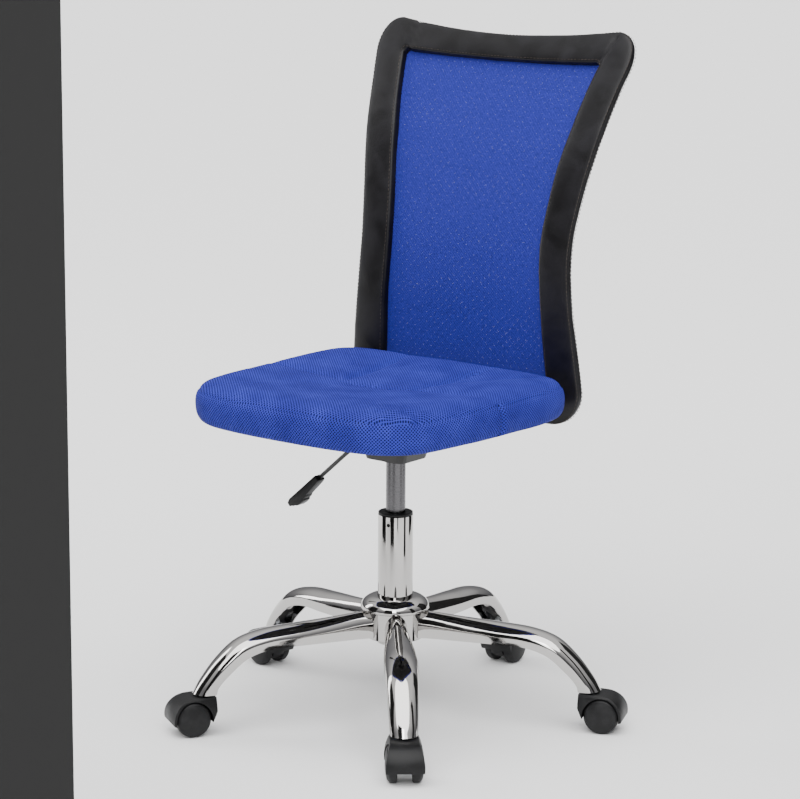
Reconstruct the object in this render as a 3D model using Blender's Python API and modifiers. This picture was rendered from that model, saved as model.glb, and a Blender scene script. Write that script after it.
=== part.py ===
"""Swivel office chair without arms: five-star base on twin-wheel castors, gas lift, padded seat, mesh back.

Metres, +Z up, floor at z = 0. The sitter faces -Y and the sitter's left hand is at +X.
Sub-parts are placed from the column's axis, which stands at (COLUMN_X, COLUMN_Y).
"""

import math

import bmesh
import bpy
from mathutils import Vector

# --- frame -------------------------------------------------------------------------------------
COLUMN_X = 0.0062              # column axis, measured from the middle of the footprint
COLUMN_Y = -0.0183
GAP = 0.0003                   # gap left between pieces that touch

# --- star base ---------------------------------------------------------------------------------
ARM_COUNT = 5
ARM_YAW = 40.5                 # degrees from -Y to the first arm, turning towards +X
STEM_CIRCLE = 0.286            # column axis to castor stem
SHEET = 0.002                  # wall of the pressed arms
HUB_R = 0.0415
HUB_RIM_R = 0.0495
HUB_LOW = 0.1135
HUB_TOP = 0.174
TIP_Z = 0.058                  # underside of an arm's tip
# crest radius and height, lower edge radius and height, half width
ARM_STATIONS = (
    (0.034, 0.1550, 0.034, 0.1170, 0.0165),
    (0.058, 0.1530, 0.058, 0.1175, 0.0157),
    (0.100, 0.1495, 0.098, 0.1182, 0.0188),
    (0.150, 0.1460, 0.146, 0.1190, 0.0230),
    (0.200, 0.1415, 0.190, 0.1185, 0.0237),
    (0.238, 0.1300, 0.226, 0.1080, 0.0226),
    (0.268, 0.1050, 0.253, 0.0865, 0.0212),
    (0.291, 0.0760, 0.269, 0.0690, 0.0200),
    (0.3015, TIP_Z, 0.2725, TIP_Z, 0.0192),
)
ARM_RINGS = 12

# --- column and gas lift -----------------------------------------------------------------------
COLUMN_R = 0.025
COLUMN_BORE_R = 0.023
COLUMN_LOW = 0.1045
COLUMN_TOP = 0.2930
COLLAR_TOP = 0.2967
BUSH_LOW = 0.240
CYLINDER_R = 0.0140
CYLINDER_BORE_R = 0.0115
CYLINDER_LOW = 0.200
NOSE_LOW = 0.371               # the straight cylinder ends and the tapered nose starts
NOSE_TOP = 0.389
PIN_R = 0.003
PISTON_ROD_R = 0.005
PEEP_HOLE_YAW = 14.0           # small hole near the top of the column

# --- castors -----------------------------------------------------------------------------------
WHEEL_FACETS = 20              # a flat of each wheel rests on the floor
WHEEL_FLAT_R = 0.025
WHEEL_INNER = 0.0106           # wheel faces, measured along the axle from the castor's middle
WHEEL_OUTER = 0.0266
TRAIL = 0.020                  # stem axis to axle, measured level
AXLE_R = 0.003
STEM_R = 0.0055
HOOD_TOP = 0.0555
HOOD_R = 0.030
HOOD_LOW = 0.0105
HOOD_HALF_WIDTH = 0.0265
POCKET_R = 0.0265

# --- seat --------------------------------------------------------------------------------------
BOARD_LOW = 0.4386
BOARD_TOP = 0.4486
BOARD_INSET = 0.024
# half of the seat's outline, front middle to back middle
SEAT_OUTLINE = (
    (0.000, -0.260), (0.090, -0.256), (0.156, -0.240), (0.197, -0.196), (0.211, -0.112), (0.217, -0.010),
    (0.216, 0.070), (0.202, 0.124), (0.156, 0.149), (0.080, 0.152), (0.000, 0.152),
)
# height and inset of the cushion's rings, from the recess for the board round to the crown
CUSHION_RINGS = (
    (BOARD_TOP + GAP, BOARD_INSET - GAP), (BOARD_LOW, BOARD_INSET - GAP), (BOARD_LOW, 0.018),
    (0.4440, 0.007), (0.4540, 0.001), (0.4680, 0.000), (0.4800, 0.003), (0.4890, 0.011), (0.4928, 0.028),
    (0.4938, 0.065),
)
FLANGE_LOW = 0.4358            # pressed steel plate under the board
FLANGE_TOP = 0.4383
TRAY_LOW = 0.3745
PLATE_WALL = 0.0025
FRONT_BOLTS = (0.055, -0.062)
REAR_BOLTS = (0.028, 0.066)
BOLT_R = 0.003
BOLT_HEAD_R = 0.006
BOLT_HEAD = 0.0033

# --- height lever ------------------------------------------------------------------------------
LEVER_Z = 0.4035
LEVER_PIVOT_X = -0.0430
LEVER_BEND_X = -0.0485
LEVER_SLOPE = 41.0             # degrees below level, outside the tray
LEVER_ROD_R = 0.003
PADDLE_START = 0.120           # along the sloping rod from its bend
# paddle's side view: along the rod from its root, and square to it
PADDLE_OUTLINE = (
    (0.000, 0.0046), (0.064, 0.0046), (0.0705, 0.0020), (0.0705, -0.0050), (0.0655, -0.0058),
    (0.0650, -0.0080), (0.0600, -0.0085), (0.0590, -0.0110), (0.0510, -0.0120), (0.0430, -0.0118),
    (0.0420, -0.0098), (0.0360, -0.0095), (0.0345, -0.0078), (0.0070, -0.0058), (0.0000, -0.0044),
)
PADDLE_HALF_WIDTH = 0.0085

# --- backrest ----------------------------------------------------------------------------------
# height and depth of the front face, bottom to top
BACK_PROFILE = (
    (0.400, 0.1574), (0.460, 0.1545), (0.540, 0.1489), (0.600, 0.1464), (0.660, 0.1494), (0.720, 0.1591),
    (0.800, 0.1792), (0.880, 0.2110), (0.970, 0.2572),
)
# height and half width of the cover's outer and inner edges
OUTER_EDGE = ((0.400, 0.2065), (0.460, 0.2035), (0.540, 0.1948), (0.600, 0.1877), (0.660, 0.1841),
              (0.720, 0.1885), (0.800, 0.2005), (0.880, 0.2131), (0.970, 0.2310))
INNER_EDGE = ((0.400, 0.1492), (0.460, 0.1466), (0.540, 0.1419), (0.600, 0.1368), (0.660, 0.1339),
              (0.720, 0.1369), (0.800, 0.1482), (0.880, 0.1635), (0.970, 0.1809))
OUTER_TOP, OUTER_LOW = 0.969, 0.417
INNER_TOP, INNER_LOW = 0.926, 0.462
OUTER_TOP_DIP, INNER_TOP_DIP = 0.014, 0.004
OUTER_TOP_CORNER, OUTER_LOW_CORNER = 0.040, 0.050
INNER_TOP_CORNER, INNER_LOW_CORNER = 0.006, 0.020
# cover's section: share of the way from inner to outer edge, depth behind the front face
COVER_SKIN = (
    (0.00, 0.0014), (0.14, 0.0000), (0.55, -0.0010), (0.90, 0.0000), (1.00, 0.0030),
    (1.00, 0.0100), (0.87, 0.0190), (0.45, 0.0266), (0.00, 0.0262),
)
COVER_LINING = (
    (0.00, 0.0246), (0.45, 0.0250), (0.83, 0.0178), (0.958, 0.0100), (0.950, 0.0048), (0.55, 0.0007),
    (0.00, 0.0031),
)
BACK_TUBE_R = 0.008
BACK_TUBE_SHARE, BACK_TUBE_DEPTH = 0.48, 0.0128
NET_TUCK = 0.008               # how far each net runs in under the cover
NET_THICKNESS = 0.0016
FRONT_NET_DEPTH, REAR_NET_DEPTH = 0.0040, 0.0212
BRACKET_HALF_WIDTH = 0.042
BRACKET_THICKNESS = 0.005
# side view of the bracket's middle line
BRACKET_PATH = ((0.052, 0.4330), (0.126, 0.4330), (0.150, 0.4120), (0.1883, 0.4120), (0.1883, 0.470))
BRACKET_BEND = 0.009
BACK_BOLT_X, BACK_BOLT_Z = 0.025, 0.441


# --- scene helpers -----------------------------------------------------------------------------
def clear_scene():
    for obj in list(bpy.data.objects):
        bpy.data.objects.remove(obj, do_unlink=True)


def new_collection(name):
    collection = bpy.data.collections.new(name)
    bpy.context.scene.collection.children.link(collection)
    return collection


def principled(name, colour, roughness, metallic=0.0):
    material = bpy.data.materials.new(name)
    material.use_nodes = True
    shader = material.node_tree.nodes["Principled BSDF"]
    shader.inputs["Base Color"].default_value = (*colour, 1.0)
    shader.inputs["Roughness"].default_value = roughness
    shader.inputs["Metallic"].default_value = metallic
    material.diffuse_color = (*colour, 1.0)
    return material


def empty(name, parent=None, location=(0, 0, 0), yaw=0.0):
    obj = bpy.data.objects.new(name, None)
    PARTS.objects.link(obj)
    obj.parent = parent
    obj.location = location
    obj.rotation_euler.z = math.radians(yaw)
    return obj


def part(name, mesh, material, parent, location=(0, 0, 0), turn=(0, 0, 0)):
    """A named sub-part with its own material; turn is in degrees."""
    obj = bpy.data.objects.new(name, mesh)
    if not mesh.materials:
        mesh.materials.append(material)
    PARTS.objects.link(obj)
    obj.parent = parent
    obj.location = location
    obj.rotation_euler = [math.radians(angle) for angle in turn]
    return obj


def finish_mesh(bm, name, smooth_angle=35.0):
    mesh = bpy.data.meshes.new(name)
    bm.to_mesh(mesh)
    bm.free()
    mesh.shade_smooth()
    mesh.set_sharp_from_angle(angle=math.radians(smooth_angle))
    return mesh


def baked(mesh, edit):
    """The mesh after the modifiers that edit(obj) puts on a throw-away object that holds it."""
    obj = bpy.data.objects.new(mesh.name, mesh)
    bpy.context.scene.collection.objects.link(obj)
    edit(obj)
    graph = bpy.context.evaluated_depsgraph_get()
    graph.update()
    result = bpy.data.meshes.new_from_object(obj.evaluated_get(graph))
    bpy.data.objects.remove(obj, do_unlink=True)
    result.shade_smooth()
    result.set_sharp_from_angle(angle=math.radians(35.0))
    return result


def boolean(obj, mesh, operation="DIFFERENCE"):
    """Cut, join or intersect obj with a mesh, which is kept as a hidden cutter."""
    cutter = bpy.data.objects.new(mesh.name, mesh)
    CUTTERS.objects.link(cutter)
    cutter.hide_render = True
    cutter.display_type = "WIRE"
    modifier = obj.modifiers.new(mesh.name, "BOOLEAN")
    modifier.operation = operation
    modifier.solver = "EXACT"
    modifier.object = cutter


def shaped(mesh, cuts=(), joins=(), keeps=()):
    """mesh with other meshes intersected, joined and then cut, in that order."""
    def edit(obj):
        for other in keeps:
            boolean(obj, other, "INTERSECT")
        for other in joins:
            boolean(obj, other, "UNION")
        for other in cuts:
            boolean(obj, other)
    return baked(mesh, edit)


# --- shape helpers -----------------------------------------------------------------------------
def turned(name, profile, segments, closed=False, phase=0.0):
    """Turn a profile of (radius, height) points about Z; it runs down its outer side."""
    mesh = bpy.data.meshes.new(name)
    points = [(radius * math.cos(phase), radius * math.sin(phase), height) for radius, height in profile]
    edges = [(i, i + 1) for i in range(len(points) - 1)]
    if closed:
        edges.append((len(points) - 1, 0))
    mesh.from_pydata(points, edges, [])

    def edit(obj):
        screw = obj.modifiers.new("turn", "SCREW")
        screw.angle = math.tau
        screw.steps = screw.render_steps = segments
        screw.use_merge_vertices = True
        screw.merge_threshold = 0.00001
        screw.use_smooth_shade = True
    return baked(mesh, edit)


def rod_mesh(name, radius, start, end, segments=16):
    """A round bar between two points."""
    start, end = Vector(start), Vector(end)
    bm = bmesh.new()
    bmesh.ops.create_cone(bm, cap_ends=True, segments=segments, radius1=radius, radius2=radius,
                          depth=(end - start).length)
    turn = Vector((0, 0, 1)).rotation_difference(end - start)
    bmesh.ops.rotate(bm, verts=bm.verts, cent=(0, 0, 0), matrix=turn.to_matrix())
    bmesh.ops.translate(bm, verts=bm.verts, vec=(start + end) / 2)
    return finish_mesh(bm, name)


def box_mesh(name, low, high, bevel=0.0, segments=1):
    """A box between two corners, with its upright edges bevelled."""
    low, high = Vector(low), Vector(high)
    bm = bmesh.new()
    bmesh.ops.create_cube(bm, size=1.0)
    bmesh.ops.scale(bm, verts=bm.verts, vec=high - low)
    bmesh.ops.translate(bm, verts=bm.verts, vec=(low + high) / 2)
    if bevel:
        upright = [e for e in bm.edges if abs(e.verts[0].co.z - e.verts[1].co.z) > (high.z - low.z) / 2]
        bmesh.ops.bevel(bm, geom=upright, offset=bevel, segments=segments, affect="EDGES", profile=0.5)
    return finish_mesh(bm, name)


def tapered_box(name, low_z, high_z, low_half, high_half, bevel):
    """A box whose level section grows from low_half to high_half."""
    bm = bmesh.new()
    bmesh.ops.create_cube(bm, size=2.0)
    for vert in bm.verts:
        half, height = (high_half, high_z) if vert.co.z > 0 else (low_half, low_z)
        vert.co = (vert.co.x * half[0], vert.co.y * half[1], height)
    upright = [e for e in bm.edges if abs(e.verts[0].co.z - e.verts[1].co.z) > (high_z - low_z) / 2]
    bmesh.ops.bevel(bm, geom=upright, offset=bevel, segments=3, affect="EDGES", profile=0.5)
    return finish_mesh(bm, name)


def prism(name, outline, vector):
    """A flat outline of 3-D points pushed along a vector."""
    bm = bmesh.new()
    face = bm.faces.new([bm.verts.new(point) for point in outline])
    pushed = bmesh.ops.extrude_face_region(bm, geom=[face])
    moved = [item for item in pushed["geom"] if isinstance(item, bmesh.types.BMVert)]
    bmesh.ops.translate(bm, verts=moved, vec=vector)
    bmesh.ops.recalc_face_normals(bm, faces=bm.faces)
    return finish_mesh(bm, name)


def loft(name, rings, loop=False):
    """A skin over closed rings of points; loop joins the last to the first, otherwise both ends are capped."""
    bm = bmesh.new()
    rows = [[bm.verts.new(point) for point in ring] for ring in rings]
    following = rows[1:] + rows[:1] if loop else rows[1:]
    count = len(rows[0])
    for low, high in zip(rows, following):
        for i in range(count):
            j = (i + 1) % count
            bm.faces.new((low[i], low[j], high[j], high[i]))
    if not loop:
        bm.faces.new(rows[0][::-1])
        bm.faces.new(rows[-1])
    bmesh.ops.recalc_face_normals(bm, faces=bm.faces)
    return finish_mesh(bm, name)


def smooth_value(table, at):
    """Value at a place in a table of (place, values...) rows, on a smooth curve through them."""
    rows = list(table)
    rows = [[2 * a - b for a, b in zip(rows[0], rows[1])]] + rows
    rows.append([2 * a - b for a, b in zip(rows[-1], rows[-2])])
    index = 1
    while index < len(rows) - 3 and at > rows[index + 1][0]:
        index += 1
    before, low, high, after = rows[index - 1:index + 3]
    span = high[0] - low[0]
    t = (at - low[0]) / span
    values = []
    for p, a, b, n in zip(before[1:], low[1:], high[1:], after[1:]):
        slope_a = (b - p) / (high[0] - before[0]) * span
        slope_b = (n - a) / (after[0] - low[0]) * span
        values.append((2 * t**3 - 3 * t**2 + 1) * a + (t**3 - 2 * t**2 + t) * slope_a
                      + (3 * t**2 - 2 * t**3) * b + (t**3 - t**2) * slope_b)
    return values[0] if len(values) == 1 else values


def filleted(points, radius, steps=4):
    """An open path of 2-D points with its corners rounded."""
    path = [Vector(points[0])]
    for before, corner, after in zip(points, points[1:], points[2:]):
        before, corner, after = Vector(before), Vector(corner), Vector(after)
        into, out = (before - corner).normalized(), (after - corner).normalized()
        half = into.angle(out) / 2
        centre = corner + (into + out).normalized() * (radius / math.sin(half))
        start = corner + into * (radius / math.tan(half))
        sweep = math.pi - 2 * half
        side = 1 if into.x * out.y - into.y * out.x < 0 else -1
        for k in range(steps + 1):
            angle = side * sweep * k / steps
            arm = start - centre
            path.append(centre + Vector((arm.x * math.cos(angle) - arm.y * math.sin(angle),
                                         arm.x * math.sin(angle) + arm.y * math.cos(angle))))
    path.append(Vector(points[-1]))
    return path


def offset_path(path, distance):
    """An open 2-D path moved sideways, to its left where distance is positive."""
    moved = []
    for i, point in enumerate(path):
        along = (path[min(i + 1, len(path) - 1)] - path[max(i - 1, 0)]).normalized()
        moved.append(point + Vector((-along.y, along.x)) * distance)
    return moved


# --- star base ---------------------------------------------------------------------------------
def hub_profile(grow=0.0):
    """Hub from its crown, beside the column, over the dome and down its outer side."""
    dome = []
    for k in range(6):
        angle = math.pi / 2 * (1 - k / 5)
        dome.append((COLUMN_R + 0.003 + (HUB_RIM_R - COLUMN_R - 0.003) * math.cos(angle) + grow,
                     0.157 + (HUB_TOP - 0.157) * math.sin(angle) + grow))
    return dome + [(HUB_RIM_R + grow, 0.1555 - grow), (HUB_R + grow, 0.1535 - grow), (HUB_R + grow, HUB_LOW - grow)]


def base_hub():
    bore = COLUMN_R + GAP
    profile = [(bore, HUB_TOP)] + hub_profile() + [(bore, HUB_LOW)]
    return turned("base_hub", profile, 32, closed=True)


def arm_section(crest, edge, half_width, wall):
    """Upside-down U between its crest and its lower edges, wall inside the outer skin."""
    crest, edge = Vector(crest), Vector(edge)
    down = (edge - crest).normalized()
    depth = (edge - crest).length
    shoulder = depth * 0.62
    half, rise = half_width - wall, shoulder - wall
    points = [(-half, depth)]
    for k in range(8):
        angle = math.pi * (1 - k / 7)
        points.append((half * math.cos(angle), shoulder - rise * math.sin(angle)))
    points.append((half, depth))
    section = []
    for x, drop in points:
        spot = crest + down * drop
        section.append((x, -spot.x, spot.y))
    return section


def arm_row(step):
    """Crest, lower edge and half width at a step along the arm."""
    table = [(index, *row) for index, row in enumerate(ARM_STATIONS)]
    crest_r, crest_z, edge_r, edge_z, half = smooth_value(table, step)
    return (crest_r, crest_z), (edge_r, edge_z), half


def base_arm():
    rings = []
    for k in range(ARM_RINGS):
        crest, edge, half = arm_row((len(ARM_STATIONS) - 1) * k / (ARM_RINGS - 1))
        outer = arm_section(crest, edge, half, 0.0)
        inner = arm_section(crest, edge, half, SHEET)
        rings.append(outer + inner[::-1])
    cutter = turned("hub_clearance", [(0, HUB_TOP + GAP)] + hub_profile(GAP) + [(0, HUB_LOW - GAP)], 32)
    return shaped(loft("base_arm", rings), cuts=[cutter])


def stem_socket():
    """Plate that closes the arm's tip, with the bush that holds the castor's stem."""
    inside = []
    for k in range(ARM_RINGS - 5, ARM_RINGS):
        crest, edge, half = arm_row((len(ARM_STATIONS) - 1) * k / (ARM_RINGS - 1))
        inside.append(arm_section(crest, edge, half, SHEET + GAP))
    plate = box_mesh("stem_socket", (-0.03, -0.31, TIP_Z + GAP), (0.03, -0.26, TIP_Z + GAP + 0.003))
    boss = rod_mesh("stem_boss", 0.0085, (0, -STEM_CIRCLE, TIP_Z + 0.002), (0, -STEM_CIRCLE, 0.0658))
    bore = rod_mesh("stem_bore", STEM_R + GAP, (0, -STEM_CIRCLE, 0.05), (0, -STEM_CIRCLE, 0.08))
    fitted = shaped(plate, keeps=[loft("arm_inside", inside)])
    return shaped(fitted, joins=[boss], cuts=[bore])


# --- column and gas lift -----------------------------------------------------------------------
def column_tube():
    floor_hole, floor = 0.0062, 0.003
    profile = [(COLUMN_BORE_R, COLUMN_TOP), (COLUMN_R - 0.0006, COLUMN_TOP), (COLUMN_R, COLUMN_TOP - 0.0008),
               (COLUMN_R, COLUMN_LOW + 0.003), (COLUMN_R - 0.003, COLUMN_LOW), (floor_hole, COLUMN_LOW),
               (floor_hole, COLUMN_LOW + floor), (COLUMN_BORE_R, COLUMN_LOW + floor)]
    yaw = math.radians(PEEP_HOLE_YAW)
    outward = Vector((math.sin(yaw), -math.cos(yaw), 0))
    height = Vector((0, 0, 0.281))
    hole = rod_mesh("peep_hole", 0.0019, outward * 0.015 + height, outward * 0.03 + height, 12)
    return shaped(turned("column_tube", profile, 32, closed=True), cuts=[hole])


def guide_bush():
    bore, body = CYLINDER_R + 0.0004, COLUMN_BORE_R - GAP
    profile = [(bore, COLLAR_TOP), (COLUMN_R - 0.0012, COLLAR_TOP), (COLUMN_R, COLLAR_TOP - 0.001),
               (COLUMN_R, COLUMN_TOP + GAP), (body, COLUMN_TOP + GAP), (body, BUSH_LOW), (bore, BUSH_LOW)]
    return turned("guide_bush", profile, 28, closed=True)


def ring_mesh(name, inner, outer, low, high, segments=24):
    return turned(name, [(inner, high), (outer, high), (outer, low), (inner, low)], segments, closed=True)


def piston_rod():
    shoulder_low = COLUMN_LOW + 0.0106
    profile = [(0, 0.312), (0.0095, 0.312), (0.0108, 0.310), (0.0108, 0.290), (PISTON_ROD_R, 0.288),
               (PISTON_ROD_R, shoulder_low + 0.006), (0.0088, shoulder_low + 0.005), (0.0088, shoulder_low),
               (PISTON_ROD_R, shoulder_low), (PISTON_ROD_R, 0.0960), (0, 0.0950)]
    return turned("piston_rod", profile, 20)


def gas_cylinder():
    lip, bore = PISTON_ROD_R + 0.0006, CYLINDER_BORE_R
    profile = [(PIN_R + 0.0004, NOSE_TOP), (CYLINDER_R - 0.0015, NOSE_TOP), (CYLINDER_R, NOSE_LOW),
               (CYLINDER_R, CYLINDER_LOW + 0.001), (CYLINDER_R - 0.001, CYLINDER_LOW), (lip, CYLINDER_LOW),
               (lip, CYLINDER_LOW + 0.004), (bore, CYLINDER_LOW + 0.005), (bore, NOSE_TOP - 0.008),
               (PIN_R + 0.0004, NOSE_TOP - 0.006)]
    return turned("gas_cylinder", profile, 24, closed=True)


# --- castors -----------------------------------------------------------------------------------
def castor_wheel():
    """Wheel with a domed face, axle along Z, outer face up, blind bore from its inner face."""
    tread = WHEEL_FLAT_R / math.cos(math.pi / WHEEL_FACETS)
    middle = (WHEEL_INNER + WHEEL_OUTER) / 2
    bore = AXLE_R + GAP
    profile = [(0, WHEEL_OUTER), (tread * 0.72, WHEEL_OUTER - 0.0014), (tread * 0.94, WHEEL_OUTER - 0.0050),
               (tread, middle + 0.0006), (tread, WHEEL_INNER), (bore, WHEEL_INNER),
               (bore, WHEEL_OUTER - 0.0024), (0, WHEEL_OUTER - 0.0024)]
    return turned("castor_wheel", profile, WHEEL_FACETS, phase=math.pi / WHEEL_FACETS)


def hood_side_outline():
    """Side view as (distance behind the stem, height)."""
    low_angle = math.asin((HOOD_LOW - WHEEL_FLAT_R) / HOOD_R)
    outline = [(-0.013, HOOD_TOP), (-0.013, 0.037), (-0.0045, 0.0175), (0.0035, HOOD_LOW)]
    for k in range(9):
        angle = low_angle + (math.radians(88) - low_angle) * k / 8
        outline.append((TRAIL + HOOD_R * math.cos(angle), WHEEL_FLAT_R + HOOD_R * math.sin(angle)))
    outline.append((0.0135, HOOD_TOP))
    return outline


def hood_front_outline():
    """Barrel-shaped front view as (sideways, height)."""
    heights = [0.006, 0.018, 0.030, 0.041, 0.050, HOOD_TOP + 0.001]
    right = [(HOOD_HALF_WIDTH - 8.6 * (height - 0.027) ** 2, height) for height in heights]
    return right + [(-x, z) for x, z in reversed(right)]


def castor_hood():
    """Hood over both wheels; it trails towards -Y."""
    side = prism("castor_hood", [(-0.04, -back, z) for back, z in hood_side_outline()], (0.08, 0, 0))
    front = prism("hood_barrel", [(x, -0.08, z) for x, z in hood_front_outline()], (0, 0.12, 0))
    axle = Vector((0, -TRAIL, WHEEL_FLAT_R))
    web = Vector((WHEEL_INNER - 0.0004, 0, 0))
    reach = Vector((0.05, 0, 0))
    cuts = [
        rod_mesh("left_pocket", POCKET_R, axle + web, axle + reach, 24),
        rod_mesh("right_pocket", POCKET_R, axle - reach, axle - web, 24),
        rod_mesh("stem_hole", STEM_R + GAP, (0, 0, 0.0352), (0, 0, 0.07)),
        rod_mesh("axle_hole", AXLE_R + GAP, axle - reach, axle + reach, 12),
    ]
    return shaped(side, keeps=[front], cuts=cuts)


def castor_stem():
    collar_low = HOOD_TOP + GAP
    profile = [(0, 0.0742), (0.0028, 0.0740), (0.0034, 0.0712), (STEM_R, 0.0702), (STEM_R, collar_low + 0.0019),
               (0.0088, collar_low + 0.0019), (0.0088, collar_low), (STEM_R, collar_low), (STEM_R, 0.036),
               (0, 0.036)]
    return turned("castor_stem", profile, 12)


def build_castors(chair, materials):
    hood, stem, wheel = castor_hood(), castor_stem(), castor_wheel()
    axle_end = Vector((WHEEL_OUTER - 0.0026, 0, 0))
    axle = rod_mesh("wheel_axle", AXLE_R, -axle_end, axle_end, 12)
    for number in range(1, ARM_COUNT + 1):
        yaw = ARM_YAW + (number - 1) * 360 / ARM_COUNT
        angle = math.radians(yaw)
        pivot = empty(f"castor_pivot_{number}", chair,
                      (STEM_CIRCLE * math.sin(angle), -STEM_CIRCLE * math.cos(angle), 0), yaw)
        centre = (0, -TRAIL, WHEEL_FLAT_R)
        part(f"castor_hood_{number}", hood, materials["hood"], pivot)
        part(f"castor_stem_{number}", stem, materials["steel"], pivot)
        part(f"castor_axle_{number}", axle, materials["steel"], pivot, centre)
        part(f"castor_wheel_left_{number}", wheel, materials["wheel"], pivot, centre, (0, 90, 0))
        part(f"castor_wheel_right_{number}", wheel, materials["wheel"], pivot, centre, (0, -90, 0))


# --- seat --------------------------------------------------------------------------------------
def seat_ring(inset, height, samples=4):
    """Seat outline at a height, moved inwards by inset."""
    half = [(index, *point) for index, point in enumerate(SEAT_OUTLINE)]
    mirrored = [(-point[0], point[1]) for point in SEAT_OUTLINE[-2:0:-1]]
    whole = half + [(len(half) + index, *point) for index, point in enumerate(mirrored)]
    count = len(whole)
    wrapped = [(row[0] - count, *row[1:]) for row in whole[-2:]] + whole + \
              [(row[0] + count, *row[1:]) for row in whole[:3]]
    steps = count * samples // 2
    points = [Vector(smooth_value(wrapped, k * count / steps)) for k in range(steps)]
    ring = []
    for k, point in enumerate(points):
        along = (points[(k + 1) % steps] - points[k - 1]).normalized()
        inward = Vector((-along.y, along.x)) * inset
        ring.append((point.x + inward.x, point.y + inward.y, height))
    return ring


def seat_bolt_spots():
    """Places of the four seat bolts, with the height under each bolt's head."""
    bracket_low = BRACKET_PATH[0][1] - BRACKET_THICKNESS / 2
    return [(FRONT_BOLTS[0], FRONT_BOLTS[1], FLANGE_LOW), (-FRONT_BOLTS[0], FRONT_BOLTS[1], FLANGE_LOW),
            (REAR_BOLTS[0], REAR_BOLTS[1], bracket_low), (-REAR_BOLTS[0], REAR_BOLTS[1], bracket_low)]


def seat_board():
    board = loft("seat_board", [seat_ring(BOARD_INSET, BOARD_LOW), seat_ring(BOARD_INSET, BOARD_TOP)])
    holes = [rod_mesh(f"board_hole_{k}", BOLT_R + GAP, (x, y, BOARD_LOW - 0.002), (x, y, BOARD_TOP - 0.001), 12)
             for k, (x, y, _) in enumerate(seat_bolt_spots())]
    return shaped(board, cuts=holes)


def seat_cushion():
    return loft("seat_cushion", [seat_ring(inset, height) for height, inset in CUSHION_RINGS])


def seat_plate():
    """Pressed plate: flange, tapered tray, and the socket that the gas cylinder's nose sits in."""
    flange = box_mesh("seat_plate", (-0.085, -0.080, FLANGE_LOW), (0.085, 0.080, FLANGE_TOP), 0.012, 3)
    top_half, low_half = (0.052, 0.042), (0.034, 0.031)
    tray = tapered_box("tray", TRAY_LOW, FLANGE_LOW + 0.001, low_half, top_half, 0.010)
    wall = PLATE_WALL
    hollow = tapered_box("tray_hollow", TRAY_LOW + wall, FLANGE_TOP + 0.001,
                         (low_half[0] - wall, low_half[1] - wall), (top_half[0] - wall, top_half[1] - wall),
                         0.008)
    socket = rod_mesh("nose_socket", 0.0195, (0, 0, 0.3705), (0, 0, NOSE_TOP - 0.002), 28)
    plate = shaped(flange, joins=[tray], cuts=[hollow])
    holes = [
        rod_mesh("nose_bore", CYLINDER_R + GAP, (0, 0, 0.36), (0, 0, 0.40), 28),
        rod_mesh("lever_hole", 0.0088, (-0.060, 0, LEVER_Z), (-0.034, 0, LEVER_Z), 20),
    ]
    for k, (x, y, _) in enumerate(seat_bolt_spots()):
        holes.append(rod_mesh(f"plate_hole_{k}", BOLT_R + GAP, (x, y, 0.43), (x, y, 0.44), 12))
    return shaped(plate, joins=[socket], cuts=holes)


def bolt(name, head_radius, head, shank_radius, shank):
    """Button-head bolt: z = 0 under the head, shank upwards."""
    profile = [(0, shank), (shank_radius, shank), (shank_radius, 0), (head_radius, 0),
               (head_radius, -head * 0.55), (head_radius * 0.6, -head), (0, -head)]
    return turned(name, profile, 14)


# --- height lever ------------------------------------------------------------------------------
def lever_direction():
    slope = math.radians(LEVER_SLOPE)
    return Vector((-math.cos(slope), 0, -math.sin(slope)))


def tube_mesh(name, points, radius, closed=False, resolution=2):
    """A round tube along a path, as a welded mesh."""
    curve = bpy.data.curves.new(name, "CURVE")
    curve.dimensions = "3D"
    curve.bevel_depth = radius
    curve.bevel_resolution = resolution
    curve.use_fill_caps = True
    spline = curve.splines.new("POLY")
    spline.points.add(len(points) - 1)
    for point, place in zip(spline.points, points):
        point.co = (*place, 1.0)
    spline.use_cyclic_u = closed
    obj = bpy.data.objects.new(name, curve)
    bpy.context.scene.collection.objects.link(obj)
    graph = bpy.context.evaluated_depsgraph_get()
    graph.update()
    mesh = bpy.data.meshes.new_from_object(obj.evaluated_get(graph))
    bpy.data.objects.remove(obj, do_unlink=True)
    bm = bmesh.new()
    bm.from_mesh(mesh)
    bmesh.ops.remove_doubles(bm, verts=bm.verts, dist=0.00001)
    bmesh.ops.recalc_face_normals(bm, faces=bm.faces)
    return finish_mesh(bm, name)


def lever_rod():
    bend = Vector((LEVER_BEND_X, 0, LEVER_Z))
    end = bend + lever_direction() * (PADDLE_START + 0.026)
    path = filleted([(0.008, LEVER_Z), (bend.x, bend.z), (end.x, end.z)], 0.008, 5)
    return tube_mesh("lever_rod", [(p.x, 0, p.y) for p in path], LEVER_ROD_R, resolution=2)


def lever_paddle():
    along = lever_direction()
    square = Vector((-along.z, 0, along.x)) * -1
    root = Vector((LEVER_BEND_X, -PADDLE_HALF_WIDTH, LEVER_Z)) + along * PADDLE_START
    outline = [root + along * s + square * n for s, n in PADDLE_OUTLINE]
    paddle = prism("lever_paddle", outline, (0, 2 * PADDLE_HALF_WIDTH, 0))
    middle = root + Vector((0, PADDLE_HALF_WIDTH, 0))
    bore = rod_mesh("paddle_bore", LEVER_ROD_R + GAP, middle - along * 0.01, middle + along * 0.0265, 14)

    def soften(obj):
        bevel = obj.modifiers.new("soften", "BEVEL")
        bevel.width = 0.0009
        bevel.segments = 1
        bevel.limit_method = "ANGLE"
        bevel.angle_limit = math.radians(50)
    return shaped(baked(paddle, soften), cuts=[bore])


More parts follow.
